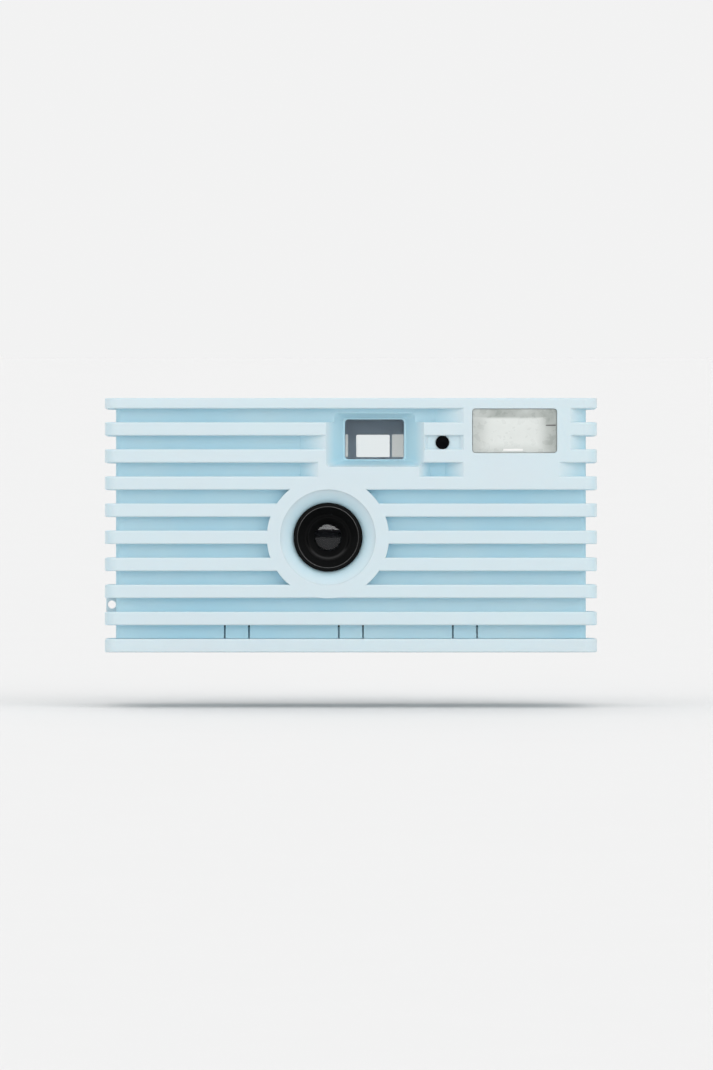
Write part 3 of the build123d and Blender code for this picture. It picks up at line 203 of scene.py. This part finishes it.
past_circle = add("Math", operation="SUBTRACT", in_0=(circle, "Value"), in_1=polished_circle)
off_circle = add("Math", operation="ABSOLUTE", in_0=(past_circle, 0))
satin = add("MapRange", in_Value=(off_circle, 0), in_From_Min=polished_half_width,
            in_From_Max=2 * polished_half_width, in_To_Min=0.0, in_To_Max=satin_roughness)
rougher = add("Math", operation="MAXIMUM", in_0=(polished, 0), in_1=(satin, 0))
add.link(rougher, 0, shader.inputs["Roughness"])
dress(ring_finish, "lens_ring", "lens_holder")


# Bead: a fine round rim on the face of the lens ring, moulded with it in black plastic and polished, so that
# it catches the light all the way round.
def new_piece(name, points, faces):
    """A new object at the origin with a mesh of these points, an array of rows in metres, and these faces."""
    mesh = bpy.data.meshes.new(name)
    mesh.from_pydata(points.tolist(), [], faces)
    piece = bpy.data.objects.new(name, mesh)
    bpy.context.scene.collection.objects.link(piece)
    return piece


def turned_bead(name, middle, circle, tube, turns=96, sides=12):
    """A closed ring of round section. A circle of radius tube, in sides steps, is carried in turns steps
    round a circle of radius circle, which lies about the Y axis through middle."""
    along, around = np.meshgrid(np.linspace(0, 2 * np.pi, turns + 1)[:-1],
                                np.linspace(0, 2 * np.pi, sides + 1)[:-1], indexing="ij")
    reach = circle + tube * np.cos(around)
    points = np.stack([middle[0] + reach * np.cos(along), middle[1] + tube * np.sin(around),
                       middle[2] + reach * np.sin(along)], -1).reshape(-1, 3)
    row, column = np.meshgrid(np.arange(turns), np.arange(sides), indexing="ij")
    next_row = (row + 1) % turns
    next_column = (column + 1) % sides
    faces = np.stack([row * sides + column, row * sides + next_column, next_row * sides + next_column,
                      next_row * sides + column], -1).reshape(-1, 4)
    bead = new_piece(name, points, faces.tolist())
    bead.data.shade_smooth()
    return bead


bead_circle = 0.00745
bead_tube = 0.00011
bead_sink = 0.00002
bead_middle = (ring_middle[0], ring_middle[1] + bead_sink, ring_middle[2])
bead_finish, add, shader = new_finish("lens_ring_polished_bead")
paint(add, shader, colour=(0.012, 0.012, 0.012), mottle=(0.016, 0.016, 0.016), mottle_size=0.002,
      roughness=0.2, rough_spread=0.04, grain_size=0.0002, grain_depth=0.000001)
shader.inputs["Specular IOR Level"].default_value = 0.6
ring_bead = turned_bead("lens_ring_bead", bead_middle, bead_circle, bead_tube)
ring_bead.data.materials.append(bead_finish)
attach(ring_bead, "camera")


# Taking lens: one clear element, moulded and set in the holder's seat. Its low-index coating reflects less
# than bare plastic would.
coating_index = 1.38
lens_finish, add, shader = new_finish("coated_lens_plastic")
paint(add, shader, colour=(0.22, 0.24, 0.27), mottle=(0.20, 0.23, 0.27), mottle_size=0.004,
      roughness=0.03, rough_spread=0.01, grain_size=0.001, grain_depth=0.000001)
shader.inputs["Transmission Weight"].default_value = 1.0
shader.inputs["IOR"].default_value = coating_index
dress(lens_finish, "taking_lens")


# Aperture plate, shutter blade and shutter plate: stamped from thin steel and blackened, so that light
# doesn't bounce between them.
black_metal, add, shader = new_finish("blackened_steel")
paint(add, shader, colour=(0.005, 0.005, 0.005), mottle=(0.012, 0.012, 0.011), mottle_size=0.003,
      roughness=0.5, rough_spread=0.12, grain_size=0.0002, grain_depth=0.000005)
shader.inputs["Metallic"].default_value = 0.3
dress(black_metal, "aperture_plate", "shutter_blade", "shutter_plate")


# Striker, springs, screws and cassette caps: bright bare steel, stamped, wound, turned or pressed, with the
# faint clouds that oil and handling leave on it.
steel_finish, add, shader = new_finish("bright_spring_steel")
paint(add, shader, colour=(0.58, 0.58, 0.60), mottle=(0.48, 0.48, 0.50), mottle_size=0.002,
      roughness=0.28, rough_spread=0.08, grain_size=0.0001, grain_depth=0.000003)
shader.inputs["Metallic"].default_value = 1.0
dress(steel_finish, "striker_lever", "striker_spring", "blade_spring", "button_spring", "ratchet_spring",
      "board_screws", "cassette_top_cap", "cassette_bottom_cap")

# The leaf under the shutter button gets a mesh of its own, and press_share is the share of its height that
# the button's press travels; nothing here bends the leaf.
leaf_low, leaf_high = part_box("button_spring")
button_press = next(joint for joint in frame["joints"] if joint["name"] == "shutter_button_press")
press_share = max(abs(limit) for limit in button_press["range_m"]) / (leaf_high[2] - leaf_low[2])
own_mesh(frame["nodes"]["button_spring"])


# Finder: a stepped tube moulded in grey-blue plastic, between the front wall and the back cover. A mask
# half-way along it limits the view.
finder_finish, add, shader = new_finish("finder_grey_plastic")
paint(add, shader, colour=(0.33, 0.42, 0.51), mottle=(0.41, 0.50, 0.59), mottle_size=0.004,
      roughness=0.45, rough_spread=0.1, grain_size=0.0002, grain_depth=0.000006)
dress(finder_finish, "finder_housing")


# Clear windows: the two ends of the finder, the window over the counter dial and the light pipe over the
# ready lamp, all moulded in clear acrylic.
acrylic_index = 1.49
clear_finish, add, shader = new_finish("clear_window_plastic")
paint(add, shader, colour=(0.96, 0.98, 0.98), mottle=(0.93, 0.97, 0.98), mottle_size=0.005,
      roughness=0.03, rough_spread=0.015, grain_size=0.002, grain_depth=0.000001)
shader.inputs["Transmission Weight"].default_value = 1.0
shader.inputs["IOR"].default_value = acrylic_index
dress(clear_finish, "finder_front_lens", "finder_eyepiece", "counter_window", "light_pipe")


# Rear block of the finder: a clear moulded block, wider than the opening in the mask. Its two matt ends show
# beside the opening, as a pale panel on the right and a thin pale strip on the left. Each is a thin plate on
# the mask's face, and both glow faintly: painted light for the light that the finder's front window keeps off
# them.
def soft_plate(name, low, high, corner, edge, turns=32, steps=4):
    """A flat closed plate in the X-Z plane between the corners low and high, in metres. Its outline is a
    rounded rectangle: a circle of radius corner, in turns steps, with its quarters moved out to the corners.
    At the front the outline draws in along a quarter circle of radius edge, in steps layers. A fan of faces
    closes the back and another the front."""
    turn = np.linspace(0, 2 * np.pi, turns + 1)[:-1]
    half = (np.array(high) - np.array(low)) / 2
    middle = (np.array(high) + np.array(low)) / 2
    swing = np.linspace(0, np.pi / 2, steps + 1)
    inset = np.concatenate(([0.0], edge * (1 - np.cos(swing)), [edge]))
    depth = np.concatenate(([high[1]], low[1] + edge * (1 - np.sin(swing)), [low[1]]))
    side_x = np.sign(np.cos(turn)) * (half[0] - corner)
    side_z = np.sign(np.sin(turn)) * (half[2] - corner)
    rings = [np.stack([middle[0] + side_x + (corner - step) * np.cos(turn), np.full_like(turn, y),
                       middle[2] + side_z + (corner - step) * np.sin(turn)], 1)
             for step, y in zip(inset, depth)]
    points = np.concatenate(rings + [[(middle[0], high[1], middle[2])], [(middle[0], low[1], middle[2])]])
    spots = np.arange(turns)
    after = np.roll(spots, -1)
    walls = [np.stack([level + spots, level + after, level + turns + after, level + turns + spots], 1)
             for level in range(0, (len(rings) - 1) * turns, turns)]
    back = np.stack([after, spots, np.full(turns, len(points) - 2)], 1)
    rim = (len(rings) - 1) * turns
    front = np.stack([rim + spots, rim + after, np.full(turns, len(points) - 1)], 1)
    return new_piece(name, points, np.concatenate(walls).tolist() + back.tolist() + front.tolist())


mask_face = 0.002
block_end_depth = 0.0004
block_end_foot = 0.04765
block_end_head = 0.05325
block_end_rounding = 0.0001
block_end_sides = {
    "finder_block_end_right": (0.0101, 0.01293),
    "finder_block_end_left": (-0.0014, -0.0008),
}
matt_painted_glow_finish, add, shader = new_finish("matt_block_end_painted_glow")
paint(add, shader, colour=(0.80, 0.80, 0.77), mottle=(0.70, 0.70, 0.66), mottle_size=0.002,
      roughness=0.6, rough_spread=0.1, grain_size=0.0003, grain_depth=0.00001)
# Painted light: a faint glow, though the block ends are no lamp.
shader.inputs["Emission Color"].default_value = (1.0, 0.99, 0.94, 1.0)
shader.inputs["Emission Strength"].default_value = 0.33
for name, (left, right) in block_end_sides.items():
    block_end = soft_plate(name, (left, mask_face - block_end_depth, block_end_foot),
                           (right, mask_face, block_end_head), block_end_rounding, block_end_rounding)
    block_end.data.materials.append(matt_painted_glow_finish)
    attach(block_end, "camera")


# Sensor window: a round plug moulded in black plastic, with a polished face. It sits in its hole beside the
# finder and has a collar behind the front wall.
sensor_finish, add, shader = new_finish("sensor_black_plastic")
paint(add, shader, colour=(0.001, 0.001, 0.0015), mottle=(0.002, 0.002, 0.003), mottle_size=0.002,
      roughness=0.12, rough_spread=0.04, grain_size=0.0002, grain_depth=0.000001)
shader.inputs["Specular IOR Level"].default_value = 0.12
dress(sensor_finish, "sensor_window")


# Flash window: a cup moulded in frosted acrylic, in front of the reflector and the tube. Its inside is
# stippled, which blurs them: the window looks even and white. Painted shade darkens it towards its sides, top
# and foot.
window_low, window_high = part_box("flash_window")
# Painted shade: the grey the window turns to near its edges, deepest on the right.
frosted_white = (0.83, 0.865, 0.84)
painted_shade_grey = (0.10, 0.13, 0.11)
right_painted_shade = {"axis": "X", "begin": window_high[0] - 0.0065, "end": window_high[0] - 0.002, "most": 0.95}
left_painted_shade = {"axis": "X", "begin": window_low[0] + 0.006, "end": window_low[0] + 0.0018, "most": 0.6}
head_painted_shade = {"axis": "Z", "begin": window_high[2] - 0.0034, "end": window_high[2] - 0.0026, "most": 0.8}
foot_painted_shade = {"axis": "Z", "begin": window_low[2] + 0.0036, "end": window_low[2] + 0.001, "most": 0.45}
frosted_finish, add, shader = new_finish("frosted_flash_plastic")
place = add("TexCoord")
axes = add("SeparateXYZ", in_0=(place, "Object"))
# Painted shade bands, each growing towards one edge of the window.
painted_shade_bands = [add("MapRange", interpolation_type="SMOOTHSTEP", in_Value=(axes, shade["axis"]),
            in_From_Min=shade["begin"], in_From_Max=shade["end"], in_To_Min=0.0, in_To_Max=shade["most"])
        for shade in (right_painted_shade, left_painted_shade, head_painted_shade, foot_painted_shade)]
sides = add("Math", operation="MAXIMUM", in_0=(painted_shade_bands[0], 0), in_1=(painted_shade_bands[1], 0))
ends = add("Math", operation="MAXIMUM", in_0=(painted_shade_bands[2], 0), in_1=(painted_shade_bands[3], 0))
painted_shade_all_round = add("Math", operation="MAXIMUM", in_0=(sides, 0), in_1=(ends, 0))
white_with_painted_shade = add("Mix", data_type="RGBA", in_Factor=(painted_shade_all_round, 0), in_A=(*frosted_white, 1.0),
                   in_B=(*painted_shade_grey, 1.0))
paint(add, shader, colour=(white_with_painted_shade, "Result"), mottle=(0.70, 0.735, 0.71), mottle_size=0.004,
      roughness=0.3, rough_spread=0.08, grain_size=0.0005, grain_depth=0.000006)
shader.inputs["Transmission Weight"].default_value = 0.04
shader.inputs["IOR"].default_value = acrylic_index
dress(frosted_finish, "flash_window")


# Marks in the flash window: a painted highlight, a bright bar where the tube shows through the stipple, and
# the dark wire at the tube's end. Each is a very thin plate let into the window's face.
window_face = window_low[1]
mark_proud = 0.00003
mark_sunk = 0.0001
mark_corner = 0.00012
mottle_share = (0.9, 0.9, 0.88)
# Painted highlight: a near-white bar for the tube's light through the stipple.
tube_painted_highlight = {"left": 0.0371, "right": 0.0419, "foot": 0.0491, "head": 0.0496, "grey": 0.95}
tube_lead = {"left": 0.0475, "right": 0.0499, "foot": 0.0552, "head": 0.0555, "grey": 0.12}
for name, mark in (("flash_window_painted_highlight_bar", tube_painted_highlight), ("flash_tube_lead", tube_lead)):
    mark_finish, add, shader = new_finish(name + "_finish")
    mottle = tuple(mark["grey"] * share for share in mottle_share)
    paint(add, shader, colour=(mark["grey"],) * 3, mottle=mottle, mottle_size=0.001,
          roughness=0.3, rough_spread=0.06, grain_size=0.0003, grain_depth=0.000002)
    plate = soft_plate(name, (mark["left"], window_face - mark_proud, mark["foot"]),
                       (mark["right"], window_face + mark_sunk, mark["head"]), mark_corner, mark_proud)
    plate.data.materials.append(mark_finish)
    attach(plate, "camera")


# Reflector: a trough folded from bright plated sheet, behind the flash window. It throws the tube's light
# forward.
reflector_finish, add, shader = new_finish("reflector_bright_plate")
paint(add, shader, colour=(0.86, 0.86, 0.85), mottle=(0.74, 0.75, 0.75), mottle_size=0.004,
      roughness=0.2, rough_spread=0.07, grain_size=0.0006, grain_depth=0.00001)
shader.inputs["Metallic"].default_value = 1.0
dress(reflector_finish, "flash_reflector")


# Flash tube: a short tube of clear drawn glass, filled with xenon and sealed. It lies in the reflector's
# trough.
glass_index = 1.5
tube_finish, add, shader = new_finish("xenon_tube_glass")
paint(add, shader, colour=(0.97, 0.97, 0.95), mottle=(0.92, 0.92, 0.9), mottle_size=0.004,
      roughness=0.04, rough_spread=0.02, grain_size=0.001, grain_depth=0.000001)
shader.inputs["Transmission Weight"].default_value = 0.9
shader.inputs["IOR"].default_value = glass_index
dress(tube_finish, "flash_tube")


# Circuit board: green lacquered laminate, cut with one raised corner and held by its screws. It is a little
# lighter where copper lies under the lacquer.
board_finish, add, shader = new_finish("lacquered_board")
paint(add, shader, colour=(0.02, 0.13, 0.06), mottle=(0.035, 0.19, 0.09), mottle_size=0.004,
      roughness=0.35, rough_spread=0.05, grain_size=0.0003, grain_depth=0.000006)
dress(board_finish, "circuit_board")


# Main capacitor: an aluminium can in a dark blue shrink sleeve. It stands on the chassis floor, under the
# flash.
sleeve_finish, add, shader = new_finish("capacitor_dark_sleeve")
paint(add, shader, colour=(0.012, 0.018, 0.04), mottle=(0.02, 0.028, 0.06), mottle_size=0.006,
      roughness=0.25, rough_spread=0.05, grain_size=0.0006, grain_depth=0.00001)
dress(sleeve_finish, "main_capacitor")


# Transformer: a ferrite core with its winding between two cheeks, wrapped in amber tape. It is fixed to the
# back of the board.
tape_finish, add, shader = new_finish("transformer_amber_tape")
paint(add, shader, colour=(0.62, 0.36, 0.05), mottle=(0.5, 0.27, 0.04), mottle_size=0.002,
      roughness=0.3, rough_spread=0.06, grain_size=0.0004, grain_depth=0.00002)
dress(tape_finish, "transformer")


# Ready lamp: a small orange lamp with a rounded end. It stands over the deck and is seen from above through
# its light pipe.
lamp_finish, add, shader = new_finish("ready_lamp_orange")
paint(add, shader, colour=(0.8, 0.2, 0.05), mottle=(0.7, 0.14, 0.03), mottle_size=0.001,
      roughness=0.2, rough_spread=0.05, grain_size=0.0002, grain_depth=0.000003)
dress(lamp_finish, "ready_lamp")


# Battery: one AAA cell, a steel can in a plain dark grey jacket. It lies along the foot of the case, between
# its two contacts.
cell_finish, add, shader = new_finish("cell_jacket_grey")
paint(add, shader, colour=(0.05, 0.055, 0.06), mottle=(0.075, 0.08, 0.085), mottle_size=0.01,
      roughness=0.3, rough_spread=0.06, grain_size=0.0005, grain_depth=0.000005)
shader.inputs["Metallic"].default_value = 0.4
dress(cell_finish, "battery")


# Battery contacts: cut from springy brass sheet and bent. Each stands on the chassis floor at one end of the
# battery, with its foot turned outwards.
contact_finish, add, shader = new_finish("contact_brass")
paint(add, shader, colour=(0.72, 0.56, 0.26), mottle=(0.6, 0.44, 0.2), mottle_size=0.002,
      roughness=0.28, rough_spread=0.08, grain_size=0.0002, grain_depth=0.000004)
shader.inputs["Metallic"].default_value = 1.0
dress(contact_finish, "battery_contact_minus", "battery_contact_plus")


# Cassette: a shell rolled from lacquered tin, plain and unprinted, with a flat mouth for the film. It closes
# round the black spool.
tin_finish, add, shader = new_finish("cassette_lacquered_tin")
paint(add, shader, colour=(0.55, 0.5, 0.32), mottle=(0.48, 0.43, 0.27), mottle_size=0.006,
      roughness=0.28, rough_spread=0.06, grain_size=0.0008, grain_depth=0.000006)
shader.inputs["Metallic"].default_value = 0.5
dress(tin_finish, "cassette_shell")


# Film: a dark brown plastic strip with a row of holes along each edge. The roll on the supply spool is the
# same film, and shows the same colour edge on.
film_finish, add, shader = new_finish("film_brown_base")
paint(add, shader, colour=(0.045, 0.024, 0.016), mottle=(0.06, 0.034, 0.024), mottle_size=0.008,
      roughness=0.22, rough_spread=0.06, grain_size=0.0008, grain_depth=0.000003)
dress(film_finish, "film_strip", "film_roll")


# Counter dial: a disc moulded in off-white plastic. It turns on a post under the small window in the top
# plate.
dial_finish, add, shader = new_finish("dial_white_plastic")
paint(add, shader, colour=(0.82, 0.82, 0.78), mottle=(0.76, 0.76, 0.72), mottle_size=0.004,
      roughness=0.45, rough_spread=0.06, grain_size=0.0003, grain_depth=0.000004)
dress(dial_finish, "counter_dial")


# Numbers on the counter dial: printed in dark grey, even numbers of frames left. The dial turns back by a
# 32nd of a turn for each frame, so the numbers run round it at that step and stand upright from behind.
dial_low, dial_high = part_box("counter_dial")
dial_middle = np.array([(dial_low[0] + dial_high[0]) / 2, (dial_low[1] + dial_high[1]) / 2])
dial_steps = 32
frame_step = 2 * np.pi / dial_steps
last_number = 24
number_circle = 0.0058
number_tall = 0.002
ink_half_depth = 0.00003
figure_points = []
figure_faces = []
for number in range(last_number, -1, -2):
    lettering = bpy.data.curves.new("dial_number", "FONT")
    lettering.body = str(number)
    lettering.size = number_tall
    lettering.align_x = "CENTER"
    lettering.align_y = "CENTER"
    lettering.extrude = ink_half_depth
    carrier = bpy.data.objects.new("dial_number", lettering)
    shape = bpy.data.meshes.new_from_object(carrier)
    flat = np.empty(len(shape.vertices) * 3)
    shape.vertices.foreach_get("co", flat)
    flat = flat.reshape(-1, 3)
    angle = (last_number - number) * frame_step
    outward = np.array([np.sin(angle), -np.cos(angle)])
    along = np.array([-np.cos(angle), -np.sin(angle)])
    level = dial_middle + outward * number_circle + flat[:, :1] * along + flat[:, 1:2] * outward
    start = sum(len(block) for block in figure_points)
    figure_points.append(np.column_stack([level, flat[:, 2] + dial_high[2]]))
    figure_faces += [[start + corner for corner in face.vertices] for face in shape.polygons]
    bpy.data.objects.remove(carrier)
dial_numbers = new_piece("dial_numbers", np.concatenate(figure_points), figure_faces)
number_finish, add, shader = new_finish("dial_number_ink")
paint(add, shader, colour=(0.03, 0.035, 0.05), mottle=(0.05, 0.055, 0.07), mottle_size=0.001,
      roughness=0.5, rough_spread=0.08, grain_size=0.0002, grain_depth=0.000001)
dial_numbers.data.materials.append(number_finish)
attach(dial_numbers, "counter_dial")


# Floor of the studio: white paper a little below the camera, which hovers over its shadow. The paper rises
# gently to the back, as a sweep does, so that the shadow shows as a lens-shaped band.
floor_z = -0.0132
floor_rise = np.tan(np.radians(1.5))
floor_half = 6.0
corners = np.array([[-1, -1, 0], [1, -1, 0], [1, 1, 0], [-1, 1, 0]], float) * [floor_half, floor_half, 1]
corners[:, 2] = floor_z + floor_rise * corners[:, 1]
paper_floor = new_piece("paper_floor", corners, [(0, 1, 2, 3)])
paper_finish, add, shader = new_finish("floor_white_paper")
paint(add, shader, colour=(0.665, 0.665, 0.665), mottle=(0.66, 0.66, 0.66), mottle_size=0.05,
      roughness=0.9, rough_spread=0.03, grain_size=0.001, grain_depth=0.00001)
shader.inputs["Specular IOR Level"].default_value = 0.1
paper_floor.data.materials.append(paper_finish)


# Surround: an even pale wall all round. The eye, mirrored rays and rays that pass through clear pieces see it
# in one tone, and a weaker white lights the matt surfaces.
seen_grey = 0.89
lit_strength = 0.62
surround = bpy.data.worlds.new("pale_surround")
bpy.context.scene.world = surround
surround.use_nodes = True
sky = surround.node_tree
sky.nodes.clear()
seen = sky.nodes.new("ShaderNodeBackground")
seen.inputs["Color"].default_value = (seen_grey, seen_grey, seen_grey, 1)
lit = sky.nodes.new("ShaderNodeBackground")
lit.inputs["Color"].default_value = (1.0, 1.0, 1.0, 1)
lit.inputs["Strength"].default_value = lit_strength
path = sky.nodes.new("ShaderNodeLightPath")
ray_sees = path.outputs["Is Camera Ray"]
for ray in ("Is Glossy Ray", "Is Transmission Ray"):
    either = sky.nodes.new("ShaderNodeMath")
    either.operation = "MAXIMUM"
    sky.links.new(ray_sees, either.inputs[0])
    sky.links.new(path.outputs[ray], either.inputs[1])
    ray_sees = either.outputs[0]
blend = sky.nodes.new("ShaderNodeMixShader")
sky.links.new(ray_sees, blend.inputs[0])
sky.links.new(lit.outputs[0], blend.inputs[1])
sky.links.new(seen.outputs[0], blend.inputs[2])
world_out = sky.nodes.new("ShaderNodeOutputWorld")
sky.links.new(blend.outputs[0], world_out.inputs[0])


# Large soft lamps: two beside the front and one above it light the shape evenly, and a weaker one behind
# keeps the back from going dark.
def face_along(lamp, direction):
    """Turns the lamp so that its light comes from that direction."""
    lamp.rotation_mode = "QUATERNION"
    lamp.rotation_quaternion = Vector(direction).to_track_quat("Z", "Y")


def soft_sun(name, come_from, spread, strength):
    """An even far lamp shining from the direction come_from, spread degrees wide, of that strength."""
    data = bpy.data.lights.new(name, "SUN")
    data.angle = np.radians(spread)
    data.energy = strength
    lamp = bpy.data.objects.new(name, data)
    bpy.context.scene.collection.objects.link(lamp)
    face_along(lamp, come_from)
    return lamp


soft_sun("lamp_above_front", come_from=(0.3, -0.7, 1.1), spread=60, strength=0.5)
soft_sun("lamp_right", come_from=(1.0, -0.8, 0.5), spread=50, strength=0.6)
soft_sun("lamp_left", come_from=(-1.0, -0.6, 0.5), spread=60, strength=0.6)
soft_sun("lamp_back", come_from=(-0.3, 0.9, 0.9), spread=60, strength=0.35)

# A lamp overhead for the paper alone keeps the shadow dark under the camera and short round it.
lamp_overhead = soft_sun("lamp_overhead", come_from=(0.0, 0.0, 1.0), spread=80, strength=1.1)
paper_only = bpy.data.collections.new("paper_only")
paper_only.objects.link(paper_floor)
lamp_overhead.light_linking.receiver_collection = paper_only


# Softbox: a wide, low, bright panel above the front, for mirrored rays alone. The lens shows it as the pale
# patch in its upper part.
lens_place = np.array((-0.0056, -0.018, 0.028))
softbox_distance = 2.2
softbox_rise = np.radians(22.0)
softbox_wide = 3.0
softbox_tall = 0.62
softbox_watts = 36.0
softbox_data = bpy.data.lights.new("lamp_softbox", "AREA")
softbox_data.shape = "RECTANGLE"
softbox_data.size = softbox_wide
softbox_data.size_y = softbox_tall
softbox_data.energy = softbox_watts
softbox = bpy.data.objects.new("lamp_softbox", softbox_data)
bpy.context.scene.collection.objects.link(softbox)
toward = np.array((0.0, -np.cos(softbox_rise), np.sin(softbox_rise)))
softbox.location = lens_place + toward * softbox_distance
face_along(softbox, toward)
softbox.visible_camera = False
softbox.visible_diffuse = False
softbox.visible_transmission = False


# Dark card: black felt on a board in front of the camera, from the lens's height up, for mirrored rays only.
# The lens shows it as a dark band under the pale patch.
card_y = -2.0
card_foot = lens_place[2]
card_top = 0.47
card_half = 2.0
card_corners = np.array([(-card_half, card_y, card_foot), (-card_half, card_y, card_top),
                         (card_half, card_y, card_top), (card_half, card_y, card_foot)])
dark_card = new_piece("dark_card", card_corners, [(0, 1, 2, 3)])
dark_card.visible_camera = False
dark_card.visible_diffuse = False
dark_card.visible_transmission = False
dark_card.visible_shadow = False
card_finish, add, shader = new_finish("card_black_felt")
paint(add, shader, colour=(0.004, 0.004, 0.004), mottle=(0.008, 0.008, 0.008), mottle_size=0.05,
      roughness=0.9, rough_spread=0.03, grain_size=0.001, grain_depth=0.00001)
shader.inputs["Specular IOR Level"].default_value = 0.05
dark_card.data.materials.append(card_finish)


# Eye: a long lens straight in front, far enough off that the ribs hardly converge. picture_tall is the height
# in metres that the picture covers at the camera's front face.
view_distance = 3.6
view_middle = (0.00136, 0.0286)
front_face_y = -0.018
picture_tall = 0.2607
sensor_long = 36.0
eye_data = bpy.data.cameras.new("eye")
eye_data.sensor_width = sensor_long
eye_data.lens = sensor_long * view_distance / picture_tall
eye = bpy.data.objects.new("eye", eye_data)
bpy.context.scene.collection.objects.link(eye)
eye.location = (view_middle[0], front_face_y - view_distance, view_middle[1])
eye.rotation_euler = (np.pi / 2, 0, 0)
bpy.context.scene.camera = eye
bpy.context.scene.view_settings.view_transform = "Standard"
